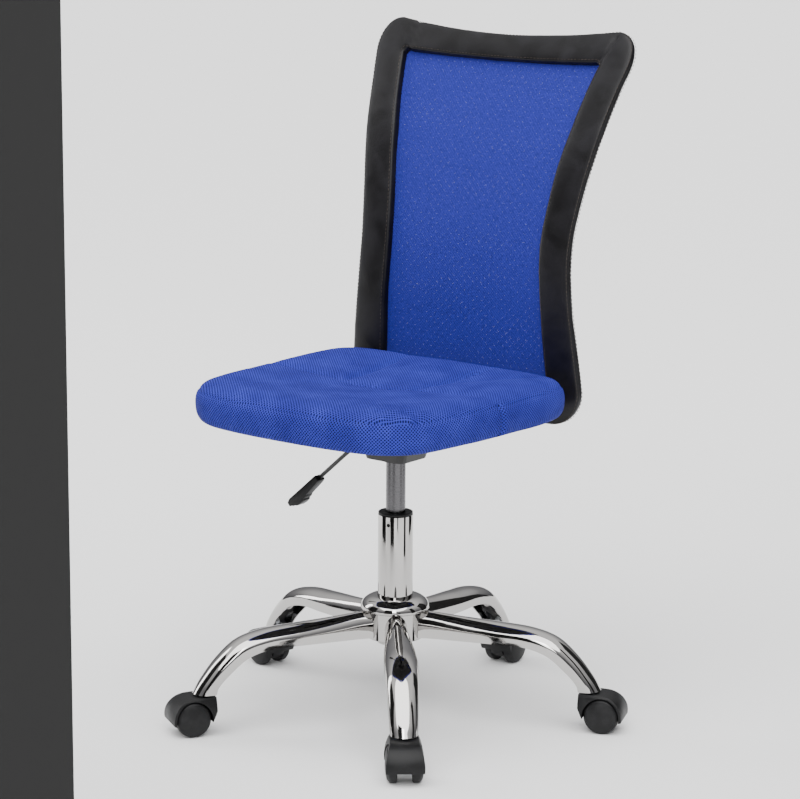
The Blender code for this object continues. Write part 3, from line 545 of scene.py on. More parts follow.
@dataclass(frozen=True)
class SpacerMesh:
    """Knitted polyester spacer fabric over foam: diamond openings between raised yarns, in matt blue, with
    painted shade in the openings.
    """

    yarn: str = "#2A3096"
    pale: str = "#363EB0"
    # opening: painted shade, a dark colour standing for the shadow inside the knit's openings
    opening: str = "#0A0C34"
    pitch_mm: float = 4.8

    def material(self) -> bpy.types.Material:
        """Diamond openings from the fabric's own UV in metres, filled with painted shade, with a yarn bump
        and a drifting tone.
        """
        material, tree, shader = blank("knitted_spacer_mesh")
        cloth = add(tree, "ShaderNodeUVMap", uv_map="cloth")
        split = add(tree, "ShaderNodeSeparateXYZ", {"Vector": cloth.outputs["UV"]})
        turns = math.tau * 1000 / self.pitch_mm
        waves = []
        for axis in ("X", "Y"):
            phase = add(tree, "ShaderNodeMath", {0: split.outputs[axis], 1: turns}, operation="MULTIPLY")
            waves.append(add(tree, "ShaderNodeMath", {0: phase.outputs[0]}, operation="COSINE"))
        gap = add(tree, "ShaderNodeMath", {0: waves[0].outputs[0],
                                           1: waves[1].outputs[0]}, operation="SUBTRACT")
        depth = add(tree, "ShaderNodeMath", {0: gap.outputs[0]}, operation="ABSOLUTE")
        hole = add(tree, "ShaderNodeMapRange", {"Value": depth.outputs[0], "From Min": 0.45, "From Max": 1.6,
                                                "To Min": 0.0, "To Max": 1.0},
                                                interpolation_type="SMOOTHSTEP")
        place = object_coordinates(tree)
        drift = add(tree, "ShaderNodeTexNoise", {"Vector": place, "Scale": 22.0, "Detail": 4.0})
        body = add(tree, "ShaderNodeValToRGB", {"Fac": drift.outputs["Fac"]})
        body.color_ramp.elements[0].position = 0.35
        body.color_ramp.elements[0].color = linear(self.yarn)
        body.color_ramp.elements[1].position = 0.70
        body.color_ramp.elements[1].color = linear(self.pale)
        # the openings take the dark opening colour: painted shade in the hollows under the yarns
        colour = add(tree, "ShaderNodeMixRGB", {"Fac": hole.outputs["Result"],
                                                "Color1": body.outputs["Color"],
                                                "Color2": linear(self.opening)})
        fibre = add(tree, "ShaderNodeTexNoise", {"Vector": place, "Scale": 2600.0, "Detail": 2.0})
        fuzz = add(tree, "ShaderNodeBump", {"Height": fibre.outputs["Fac"], "Strength": 0.3,
                                            "Distance": 0.0002})
        relief = add(tree, "ShaderNodeBump", {"Height": hole.outputs["Result"], "Strength": 0.8,
                                              "Distance": 0.0009,
                                              "Normal": fuzz.outputs["Normal"]}, invert=True)
        shader.inputs["Roughness"].default_value = 0.82
        shader.inputs["Specular IOR Level"].default_value = 0.12
        tree.links.new(colour.outputs["Color"], shader.inputs["Base Color"])
        tree.links.new(relief.outputs["Normal"], shader.inputs["Normal"])
        return material


@dataclass(frozen=True)
class Yarn:
    """Polyester yarn or thread: matt, with twist too fine to see drawn as a soft speckle."""

    name: str
    colour: str
    shade: str
    roughness: float = 0.75
    speckle_mm: float = 2.5

    def material(self) -> bpy.types.Material:
        """Matt yarn with a fine change of tone along it."""
        material, tree, shader = blank(self.name)
        place = object_coordinates(tree)
        speckle = add(tree, "ShaderNodeTexNoise", {"Vector": place, "Scale": 1000 / self.speckle_mm,
                                                   "Detail": 3.0})
        tone = add(tree, "ShaderNodeValToRGB", {"Fac": speckle.outputs["Fac"]})
        tone.color_ramp.elements[0].position = 0.35
        tone.color_ramp.elements[0].color = linear(self.shade)
        tone.color_ramp.elements[1].position = 0.65
        tone.color_ramp.elements[1].color = linear(self.colour)
        shader.inputs["Roughness"].default_value = self.roughness
        shader.inputs["Specular IOR Level"].default_value = 0.15
        tree.links.new(tone.outputs["Color"], shader.inputs["Base Color"])
        return material


@dataclass(frozen=True)
class BoardLining:
    """Black non-woven lining stapled over birch plywood: flat and fibrous."""

    colour: str = "#161618"

    def material(self) -> bpy.types.Material:
        """Matt felt with a stretched fibre bump."""
        material, tree, shader = blank("black_board_lining")
        place = object_coordinates(tree)
        fibre = add(tree, "ShaderNodeTexNoise", {"Vector": place, "Scale": 700.0, "Detail": 6.0,
                                                 "Distortion": 1.5})
        bump = add(tree, "ShaderNodeBump", {"Height": fibre.outputs["Fac"], "Strength": 0.6,
                                            "Distance": 0.0004})
        shader.inputs["Base Color"].default_value = linear(self.colour)
        shader.inputs["Roughness"].default_value = 0.92
        tree.links.new(bump.outputs["Normal"], shader.inputs["Normal"])
        return material


@dataclass
class Finishes:
    """The chair's materials, made once and shared."""

    chrome: bpy.types.Material = field(default_factory=lambda: ChromePlate().material())
    ground: bpy.types.Material = field(default_factory=lambda: GroundSteel().material())
    zinc: bpy.types.Material = field(default_factory=lambda: ZincPlate().material())
    powder: bpy.types.Material = field(default_factory=lambda: PowderCoat().material())
    nylon: bpy.types.Material = field(default_factory=lambda: MouldedNylon().material())
    wheel: bpy.types.Material = field(
        default_factory=lambda: MouldedNylon("wheel_nylon", "#141415", "#242425", 0.46, 1.2).material())
    grip: bpy.types.Material = field(
        default_factory=lambda: MouldedNylon("lever_grip_plastic", "#0C0C0D", "#1C1C1D", 0.36,
                                             0.8).material())
    leather: bpy.types.Material = field(default_factory=lambda: Leatherette().material())
    fabric: bpy.types.Material = field(default_factory=lambda: SpacerMesh().material())
    net: bpy.types.Material = field(
        default_factory=lambda: Yarn("knitted_net_yarn", "#2B3094", "#20267A").material())
    topstitch: bpy.types.Material = field(
        default_factory=lambda: Yarn("leather_topstitch", "#4C443E", "#302A27").material())
    blue_thread: bpy.types.Material = field(
        default_factory=lambda: Yarn("blue_sewing_thread", "#1E2E9C", "#141E70").material())
    lining: bpy.types.Material = field(default_factory=lambda: BoardLining().material())


# --- geometry-node trees -----------------------------------------------------------------------
def fresh_tree(name: str, sizes: Sequence[str]) -> tuple[Tree, Node, Node]:
    """Start a geometry tree with named inputs.

    Args:
        name: the tree's name.
        sizes: the names of its number inputs, in metres or as shares.

    Returns:
        The tree, its input node and its output node.
    """
    tree = bpy.data.node_groups.new(name, "GeometryNodeTree")
    tree.interface.new_socket("Geometry", in_out="INPUT", socket_type="NodeSocketGeometry")
    for size in sizes:
        tree.interface.new_socket(size, in_out="INPUT", socket_type="NodeSocketFloat")
    tree.interface.new_socket("Finish", in_out="INPUT", socket_type="NodeSocketMaterial")
    tree.interface.new_socket("Geometry", in_out="OUTPUT", socket_type="NodeSocketGeometry")
    return tree, add(tree, "NodeGroupInput"), add(tree, "NodeGroupOutput")


def close_tree(tree: Tree, source: Node, geometry: bpy.types.NodeSocket, target: Node) -> Tree:
    """End a tree in Realize Instances and Set Material."""
    real = add(tree, "GeometryNodeRealizeInstances", {"Geometry": geometry})
    dressed = add(tree, "GeometryNodeSetMaterial", {"Geometry": real.outputs[0],
                                                    "Material": source.outputs["Finish"]})
    tree.links.new(dressed.outputs[0], target.inputs[0])
    return tree


def stitch_tree() -> Tree:
    """Lay one short thread after another along a line of edges."""
    tree, source, target = fresh_tree("stitch_run", ("Stitch Length", "Stitch Gap", "Thread Radius"))
    curve = add(tree, "GeometryNodeMeshToCurve", {"Mesh": source.outputs["Geometry"]})
    step = add(tree, "ShaderNodeMath", {0: source.outputs["Stitch Length"], 1: source.outputs["Stitch Gap"]},
               operation="ADD")
    spots = add(tree, "GeometryNodeCurveToPoints", {"Curve": curve.outputs[0], "Length": step.outputs[0]},
                mode="LENGTH")
    ball = add(tree, "GeometryNodeMeshUVSphere", {"Segments": 6, "Rings": 4, "Radius": 1.0})
    half = add(tree, "ShaderNodeMath", {0: source.outputs["Stitch Length"], 1: 0.5}, operation="MULTIPLY")
    size = add(tree, "ShaderNodeCombineXYZ", {"X": source.outputs["Thread Radius"],
                                              "Y": source.outputs["Thread Radius"], "Z": half.outputs[0]})
    thread = add(tree, "GeometryNodeTransform", {"Geometry": ball.outputs["Mesh"], "Scale": size.outputs[0]})
    run = add(tree, "GeometryNodeInstanceOnPoints", {"Points": spots.outputs["Points"],
                                                     "Instance": thread.outputs[0],
                                                     "Rotation": spots.outputs["Rotation"]})
    return close_tree(tree, source, run.outputs[0], target)


def net_tree() -> Tree:
    """Open every face of a diamond sheet into a hole with a sloping rim of yarn."""
    tree, source, target = fresh_tree("knitted_net", ("Opening Share", "Yarn Relief"))
    cut = add(tree, "GeometryNodeExtrudeMesh", {"Mesh": source.outputs["Geometry"], "Offset Scale": 0.0,
                                                "Individual": True}, mode="FACES")
    rim = add(tree, "GeometryNodeScaleElements", {"Geometry": cut.outputs["Mesh"],
                                                  "Selection": cut.outputs["Top"],
                                                  "Scale": source.outputs["Opening Share"]}, domain="FACE")
    normal = add(tree, "GeometryNodeInputNormal")
    back = add(tree, "ShaderNodeMath", {0: source.outputs["Yarn Relief"], 1: -1.0}, operation="MULTIPLY")
    sink = add(tree, "ShaderNodeVectorMath", {0: normal.outputs[0],
                                              "Scale": back.outputs[0]}, operation="SCALE")
    sunk = add(tree, "GeometryNodeSetPosition", {"Geometry": rim.outputs[0], "Selection": cut.outputs["Top"],
                                                 "Offset": sink.outputs[0]})
    opened = add(tree, "GeometryNodeDeleteGeometry",
                 {"Geometry": sunk.outputs[0], "Selection": cut.outputs["Top"]},
                 domain="FACE")
    return close_tree(tree, source, opened.outputs[0], target)


def screw_tree() -> Tree:
    """Stand a button-head screw, pointing along each point's normal, on every point."""
    tree, source, target = fresh_tree("screw_set", ("Head Radius", "Head Height", "Socket Radius"))
    crown = add(tree, "ShaderNodeMath", {0: source.outputs["Head Radius"], 1: 0.72}, operation="MULTIPLY")
    head = add(tree, "GeometryNodeMeshCone", {"Vertices": 32, "Radius Top": crown.outputs[0],
                                              "Radius Bottom": source.outputs["Head Radius"],
                                              "Depth": source.outputs["Head Height"]})
    socket = add(tree, "GeometryNodeMeshCylinder", {"Vertices": 6, "Radius": source.outputs["Socket Radius"],
                                                    "Depth": source.outputs["Head Height"]})
    raised = add(tree, "ShaderNodeCombineXYZ", {"Z": source.outputs["Head Height"]})
    lifted = add(tree, "GeometryNodeTransform", {"Geometry": socket.outputs[0],
                                                 "Translation": raised.outputs[0]})
    whole = add(tree, "GeometryNodeMeshBoolean", {"Mesh 1": head.outputs[0], "Mesh 2": lifted.outputs[0]},
                operation="DIFFERENCE")
    turn = add(tree, "FunctionNodeAlignRotationToVector",
               {"Vector": add(tree, "GeometryNodeInputNormal").outputs[0]}, axis="Z")
    run = add(tree, "GeometryNodeInstanceOnPoints", {"Points": source.outputs["Geometry"],
                                                     "Instance": whole.outputs[0],
                                                     "Rotation": turn.outputs[0]})
    return close_tree(tree, source, run.outputs[0], target)


def grown(mesh: Mesh, tree: Tree, finish: bpy.types.Material, **sizes: float) -> Mesh:
    """Run a geometry tree on a mesh.

    Args:
        mesh: the points, line or sheet that it grows from.
        tree: the geometry tree.
        finish: the material of what it makes.
        **sizes: input names with underscores for spaces, and their values.

    Returns:
        The plain mesh that it makes.
    """

    def edit(holder: Object) -> None:
        """Set the inputs by their identifiers, before the first evaluation."""
        modifier = holder.modifiers.new(tree.name, "NODES")
        modifier.node_group = tree
        values = {name.replace("_", " "): value for name, value in sizes.items()}
        values["Finish"] = finish
        for item in tree.interface.items_tree:
            if item.item_type == "SOCKET" and item.in_out == "INPUT" and item.name in values:
                modifier[item.identifier] = values[item.name]

    return baked(mesh, edit)


def line_mesh(name: str, points: Sequence[Row], closed: bool = False) -> Mesh:
    """A run of edges through points."""
    mesh = bpy.data.meshes.new(name)
    edges = [(i, i + 1) for i in range(len(points) - 1)]
    if closed:
        edges.append((len(points) - 1, 0))
    mesh.from_pydata([tuple(p) for p in points], edges, [])
    return mesh


# --- sub-assemblies ----------------------------------------------------------------------------
@dataclass
class SubAssembly:
    """What every sub-assembly shares: the finishes, the column's axis, and the way pieces are handed over."""

    finishes: Finishes
    axis: Vector
    made: list[Object] = field(default_factory=list)

    def hand_over(self, mesh: Mesh, body: str, slot: str, finish: bpy.types.Material | None = None,
                  replaces: Sequence[str] = (), centred: bool = True) -> Object:
        """Turn a mesh into a piece that rides on a body.

        Args:
            mesh: the finished mesh, measured from the column's axis unless centred is False.
            body: the body that it rides on.
            slot: the record's material slot; not used.
            finish: its material, where the mesh has none yet.
            replaces: CAD nodes that it stands for.
            centred: move the mesh from the column's axis to the frame's origin first.

        Returns:
            The piece.
        """
        if centred:
            mesh.transform(Matrix.Translation(self.axis))
        if finish is not None:
            mesh.materials.clear()
            mesh.materials.append(finish)
        piece = bpy.data.objects.new(mesh.name, mesh)
        bpy.context.scene.collection.objects.link(piece)
        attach(piece, body)
        if replaces:
            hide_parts(*replaces)
        self.made.append(piece)
        LOG.info("%-24s %7d faces on %s", piece.name, len(mesh.polygons), body)
        return piece

    def redress(self, finish: bpy.types.Material, *nodes: str) -> None:
        """Give CAD nodes that stay visible a finish."""
        for name in nodes:
            node_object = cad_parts[name]
            if not node_object.material_slots:
                node_object.data.materials.append(finish)
            for slot in node_object.material_slots:
                slot.material = finish


@dataclass
class StarBase(SubAssembly):
    """Five pressed chrome arms welded round a domed hub."""

    arm_yaw: float = 40.5
    arm_count: int = 5
    hub_radius: float = 0.0415
    rim_radius: float = 0.0495
    hub_low: float = 0.1135
    hub_top: float = 0.174
    bore: float = 0.0253
    wall: float = 0.002
    weld_gap: float = 0.0003
    # crest radius and height, lower edge radius and height, half width
    stations: tuple[Row, ...] = (
        (0.034, 0.1550, 0.034, 0.1170, 0.0165), (0.058, 0.1530, 0.058, 0.1175, 0.0157),
        (0.100, 0.1495, 0.098, 0.1182, 0.0188), (0.150, 0.1460, 0.146, 0.1190, 0.0230),
        (0.200, 0.1415, 0.190, 0.1185, 0.0237), (0.238, 0.1300, 0.226, 0.1080, 0.0226),
        (0.268, 0.1050, 0.253, 0.0865, 0.0212), (0.291, 0.0760, 0.269, 0.0690, 0.0200),
        (0.3015, 0.0580, 0.2725, 0.0580, 0.0192),
    )

    def build(self) -> None:
        """Make the hub and the arms, and dress the hidden sockets."""
        hub = turned("hub_dome", [(self.bore, self.hub_top)] + self.hub_profile(0.0, 14) + [(self.bore,
                                                                                             self.hub_low)],
                     96, Edge.CRISP)
        self.hand_over(hub, "base", "chrome", self.finishes.chrome, ["base_hub"])
        arm = self.arm_mesh()
        for number in range(1, self.arm_count + 1):
            yaw = math.radians(self.arm_yaw + (number - 1) * 360 / self.arm_count)
            self.hand_over(placed(arm, Matrix.Rotation(yaw, 4, "Z"), f"arm_shell_{number}"), "base", "chrome",
                           self.finishes.chrome, [f"base_arm_{number}"])
        self.redress(self.finishes.zinc, *(f"stem_socket_{k}" for k in range(1, self.arm_count + 1)))

    def hub_profile(self, grow: float, steps: int) -> list[tuple[float, float]]:
        """The hub's outside from its crown to its lower edge, moved outwards by grow."""
        crown = self.bore + 0.0027
        dome = []
        for k in range(steps):
            angle = math.pi / 2 * (1 - k / (steps - 1))
            dome.append((crown + (self.rim_radius - crown) * math.cos(angle) + grow,
                         0.157 + (self.hub_top - 0.157) * math.sin(angle) + grow))
        lower = [(self.rim_radius - 0.0004, 0.1560), (self.hub_radius + 0.0012, 0.1542),
                 (self.hub_radius, 0.1530),
                 (self.hub_radius, self.hub_low + 0.001), (self.hub_radius - 0.001, self.hub_low)]
        return dome + [(r + grow, z - grow) for r, z in lower]

    def section(self, row: Row, wall: float) -> list[tuple[float, float, float]]:
        """Upside-down U between a crest and its lower edges.

        Args:
            row: crest radius and height, lower edge radius and height, half width.
            wall: distance inside the outer skin.

        Returns:
            The section's points, from one lower edge over the crest to the other.
        """
        crest, edge, half_width = Vector(row[:2]), Vector(row[2:4]), row[4]
        down, depth = (edge - crest).normalized(), (edge - crest).length
        shoulder = depth * 0.62
        half, rise = half_width - wall, shoulder - wall
        points = [(-half, depth)]
        for k in range(25):
            angle = math.pi * (1 - k / 24)
            points.append((half * math.cos(angle), shoulder - rise * math.sin(angle)))
        points.append((half, depth))
        spots = [(x, crest + down * drop) for x, drop in points]
        return [(x, -spot.x, spot.y) for x, spot in spots]

    def arm_mesh(self) -> Mesh:
        """One arm towards -Y, fitted round the hub."""
        rings = []
        for row in dense(self.stations, 56):
            rings.append(self.section(row, 0.0) + self.section(row, self.wall)[::-1])
        cutter = turned("hub_room", [(0.0, self.hub_top + 0.001)] + self.hub_profile(self.weld_gap, 10)
                        + [(0.0, self.hub_low - 0.001)], 64)
        arm = combined(loft("arm_shell", rings), cuts=[cutter])
        return shaded(arm, Edge.SOFT)


@dataclass
class GasLift(SubAssembly):
    """Chrome column with its nylon guide, and the satin cylinder that slides in it."""

    column_radius: float = 0.025
    column_low: float = 0.1045
    column_top: float = 0.2930
    collar_top: float = 0.2967
    cylinder_radius: float = 0.0140
    cylinder_low: float = 0.200
    nose_low: float = 0.371
    nose_top: float = 0.389
    dimple_yaw: float = 14.0
    dimple_radius: float = 0.0027
    dimple_height: float = 0.281

    def build(self) -> None:
        """Make the column, the guide's collar and the cylinder."""
        radius, bore = self.column_radius, 0.023
        profile = [(bore, self.column_top), (radius, self.column_top), (radius, self.column_low),
                   (0.0062, self.column_low), (0.0062, self.column_low + 0.003), (bore,
                                                                                  self.column_low + 0.003)]
        yaw = math.radians(self.dimple_yaw)
        outward = Vector((math.sin(yaw), -math.cos(yaw), 0))
        height = Vector((0, 0, self.dimple_height))
        drill = cylinder("drill", self.dimple_radius, outward * 0.015 + height, outward * 0.03 + height, 24)
        tube_mesh = combined(turned("column_shell", rounded(profile, 0.0012), 96), cuts=[drill])
        self.hand_over(shaded(tube_mesh, Edge.CRISP), "base", "chrome", self.finishes.chrome, ["column_tube"])
        inner = self.cylinder_radius + 0.0004
        collar = [(inner, self.collar_top), (radius - 0.0004, self.collar_top), (radius - 0.0004, 0.2933),
                  (bore - 0.0003, 0.2933), (bore - 0.0003, 0.240), (inner, 0.240)]
        self.hand_over(turned("guide_collar", rounded(collar, 0.0011), 96), "base", "black_plastic",
                       self.finishes.nylon, ["guide_bush"])
        bar = self.cylinder_radius
        shell = [(0.0034, self.nose_top), (bar - 0.0015, self.nose_top), (bar, self.nose_low),
                 (bar, self.cylinder_low), (0.0056, self.cylinder_low), (0.0056, self.cylinder_low + 0.004),
                 (0.0115, self.cylinder_low + 0.005), (0.0115, self.nose_top - 0.008),
                 (0.0034, self.nose_top - 0.006)]
        self.hand_over(turned("lift_cylinder", rounded(shell, 0.0007), 80), "seat", "cylinder",
                       self.finishes.ground, ["gas_cylinder"])
        self.redress(self.finishes.zinc, "piston_rod", "retaining_clip", "thrust_bearing", "release_pin")


@dataclass
class CastorSet(SubAssembly):
    """Five hooded twin-wheel castors, all trailing outwards at rest."""

    count: int = 5
    first_yaw: float = 40.5
    stem_circle: float = 0.286
    trail: float = 0.020
    wheel_radius: float = 0.025
    wheel_inner: float = 0.0106
    wheel_outer: float = 0.0266
    hood_top: float = 0.0555
    hood_radius: float = 0.030
    hood_low: float = 0.0105
    rim_low: float = 0.0200
    hood_half_width: float = 0.0265
    pocket_radius: float = 0.0265
    stem_radius: float = 0.0055
    axle_radius: float = 0.003

    def build(self) -> None:
        """Make one castor and stand a copy under each arm."""
        hood, wheel, stem = self.hood_mesh(), self.wheel_mesh(), self.stem_mesh()
        axle = Vector((0, -self.trail, self.wheel_radius))
        for number in range(1, self.count + 1):
            yaw = math.radians(self.first_yaw + (number - 1) * 360 / self.count)
            spot = Vector((self.stem_circle * math.sin(yaw), -self.stem_circle * math.cos(yaw), 0))
            pivot = Matrix.Translation(spot) @ Matrix.Rotation(yaw, 4, "Z")
            castor = f"castor_{number}"
            self.hand_over(placed(hood, pivot, f"hood_shell_{number}"), castor, "hood", self.finishes.nylon,
                           [f"castor_hood_{number}"])
            self.hand_over(placed(stem, pivot, f"stem_turned_{number}"), castor, "steel", self.finishes.zinc,
                           [f"castor_stem_{number}"])
            self.redress(self.finishes.zinc, f"castor_axle_{number}")
            for side in Side:
                turn = Matrix.Translation(axle) @ Matrix.Rotation(math.radians(90 * side.value), 4, "Y")
                name = side.name.lower()
                self.hand_over(placed(wheel, pivot @ turn, f"wheel_disc_{name}_{number}"),
                               f"wheel_{name}_{number}",
                               "wheel", self.finishes.wheel, [f"castor_wheel_{name}_{number}"])

    def hood_mesh(self) -> Mesh:
        """Hood over both wheels, with a pocket for each and a web between them."""
        low = math.asin((self.rim_low - self.wheel_radius) / self.hood_radius)
        side = [(-0.013, self.hood_top), (-0.013, 0.037), (-0.0045, 0.0175), (0.0035, self.hood_low)]
        for k in range(29):
            angle = low + (math.radians(88) - low) * k / 28
            side.append((self.trail + self.hood_radius * math.cos(angle),
                         self.wheel_radius + self.hood_radius * math.sin(angle)))
        side.append((0.0135, self.hood_top))
        rows = [self.hood_low - 0.004 + (self.hood_top + 0.005 - self.hood_low) * k / 20 for k in range(21)]
        right = [(self.hood_half_width - 8.6 * (z - 0.027) ** 2, z) for z in rows]
        front = right + [(-x, z) for x, z in reversed(right)]
        axle = Vector((0, -self.trail, self.wheel_radius))
        web, reach = Vector((self.wheel_inner - 0.0004, 0, 0)), Vector((0.05, 0, 0))
        cuts = [cylinder("left_pocket", self.pocket_radius, axle + web, axle + reach, 72),
                cylinder("right_pocket", self.pocket_radius, axle - reach, axle - web, 72),
                cylinder("stem_room", self.stem_radius + 0.0003, (0, 0, 0.0352), (0, 0, 0.07), 32),
                cylinder("axle_room", self.axle_radius + 0.0003, axle - reach, axle + reach, 24)]
        shell = prism("hood_shell", [(-0.04, -back, z) for back, z in side], (0.08, 0, 0))
        barrel = prism("hood_barrel", [(x, -0.08, z) for x, z in front], (0, 0.12, 0))
        return bevelled(combined(shell, keeps=[barrel], cuts=cuts), 0.0009)

    def wheel_mesh(self) -> Mesh:
        """Round wheel with a domed disc, a moulded groove and a soft tread edge; axle along Z, face up."""
        r, face, inner = self.wheel_radius, self.wheel_outer, self.wheel_inner
        middle = (face + inner) / 2
        bore = self.axle_radius + 0.0003
        dome = [(0.0, face), (0.0040, face - 0.00003), (0.0090, face - 0.00035), (0.0140, face - 0.0010),
                (0.0190, face - 0.0020), (0.0214, face - 0.0028), (0.0218, face - 0.0037), (0.0225,
                                                                                            face - 0.0038),
                (0.0229, face - 0.0040), (0.0239, face - 0.0053)]
        tread = [(r - 0.0003, middle + 0.0012), (r, middle - 0.0008), (r, inner + 0.0012), (r - 0.0011,
                                                                                            inner)]
        return turned("wheel_disc", dome + tread + [(bore, inner), (bore, face - 0.0036),
                                                    (0.0, face - 0.0036)], 96)

    def stem_mesh(self) -> Mesh:
        """Stem with a snap groove and a collar that sits on the hood."""
        low, r = self.hood_top + 0.0003, self.stem_radius
        profile = [(0.0, 0.0742), (0.0028, 0.0740), (0.0034, 0.0712), (r, 0.0702), (r, low + 0.0019),
                   (0.0088, low + 0.0019), (0.0088, low), (r, low), (r, 0.036), (0.0, 0.036)]
        return turned("stem_turned", rounded(profile, 0.0004), 40)


@dataclass
class SeatMechanism(SubAssembly):
    """Pressed seat plate, board and bracket, with their screws and the height lever."""

    lever_height: float = 0.4035
    lever_bend: float = -0.0485
    lever_slope: float = 41.0
    rod_radius: float = 0.003
    grip_start: float = 0.120
    grip_half_width: float = 0.0085
    # grip's side view: along the rod from its root, and square to it
    grip_outline: tuple[Row, ...] = (
        (0.000, 0.0046), (0.064, 0.0046), (0.0705, 0.0020), (0.0705, -0.0050), (0.0655, -0.0058),
        (0.0650, -0.0080), (0.0600, -0.0085), (0.0590, -0.0110), (0.0510, -0.0120), (0.0430, -0.0118),
        (0.0420, -0.0098), (0.0360, -0.0095), (0.0345, -0.0078), (0.0070, -0.0058), (0.0000, -0.0044),
    )
    screw_head: float = 0.006
    screw_height: float = 0.0033
    seat_screws: tuple[Row, ...] = ((0.055, -0.062, 0.4355), (-0.055, -0.062, 0.4355),
                                    (0.028, 0.066, 0.4302), (-0.028, 0.066, 0.4302))
    back_screws: tuple[Row, ...] = ((0.025, 0.1911, 0.441), (-0.025, 0.1911, 0.441))

    def build(self) -> None:
        """Dress the pressed parts, set the screws and make the lever."""
        self.redress(self.finishes.powder, "seat_plate", "back_bracket")
        self.redress(self.finishes.lining, "seat_board")
        self.redress(self.finishes.nylon, "lever_bush")
        tree = screw_tree()
        self.screws(tree, "seat_screws", self.seat_screws, (0, 0,
                                                            -1), [f"seat_bolt_{k}" for k in range(1, 5)])
        self.screws(tree, "back_screws", self.back_screws, (0, 1, 0), ["back_bolt_left", "back_bolt_right"])
        self.lever()

    def screws(self, tree: Tree, name: str, spots: Sequence[Row], direction: Row,
               nodes: Sequence[str]) -> None:
        """Set a row of screws whose heads point along a direction."""
        turn = Vector((0, 0, 1)).rotation_difference(Vector(direction)).to_matrix().to_4x4()
        points = bpy.data.meshes.new(name)
        points.from_pydata([tuple(turn.inverted() @ Vector(spot)) for spot in spots], [], [])
        heads = grown(points, tree, self.finishes.zinc, Head_Radius=self.screw_head,
                      Head_Height=self.screw_height, Socket_Radius=self.screw_head * 0.42)
        heads.transform(turn)
        heads.name = name
        shaded(heads, Edge.CRISP)
        self.hand_over(heads, "seat", "steel", None, nodes)

    def lever(self) -> None:
        """Make the bent rod and the moulded grip on its end."""
        slope = math.radians(self.lever_slope)
        along = Vector((-math.cos(slope), 0, -math.sin(slope)))
        bend = Vector((self.lever_bend, 0, self.lever_height))
        end = bend + along * (self.grip_start + 0.026)
        radius = 0.008
        setback = radius * math.tan(slope / 2)
        start = bend + Vector((setback, 0, 0))
        path = [Vector((0.008, 0, self.lever_height))]
        for k in range(11):
            angle = slope * k / 10
            path.append(start + Vector((-radius * math.sin(angle), 0, -radius * (1 - math.cos(angle)))))
        path.append(end)
        rod = tube("lever_bar", path, self.rod_radius, 24)
        self.hand_over(rod, "lever", "black_steel", self.finishes.powder, ["lever_rod"])
        square = Vector((along.z, 0, -along.x))
        root = Vector((self.lever_bend, -self.grip_half_width, self.lever_height)) + along * self.grip_start
        outline = [root + along * s + square * n for s, n in rounded(self.grip_outline, 0.0012, 2)]
        grip = prism("lever_grip", outline, (0, 2 * self.grip_half_width, 0))
        middle = root + Vector((0, self.grip_half_width, 0))
        bore = cylinder("grip_bore", self.rod_radius + 0.0003, middle - along * 0.01,
                        middle + along * 0.0265, 24)
        grip = combined(bevelled(grip, 0.0014, 3, 40.0), cuts=[bore])
        self.hand_over(shaded(grip,
                              Edge.CRISP), "lever", "black_plastic", self.finishes.grip, ["lever_paddle"])


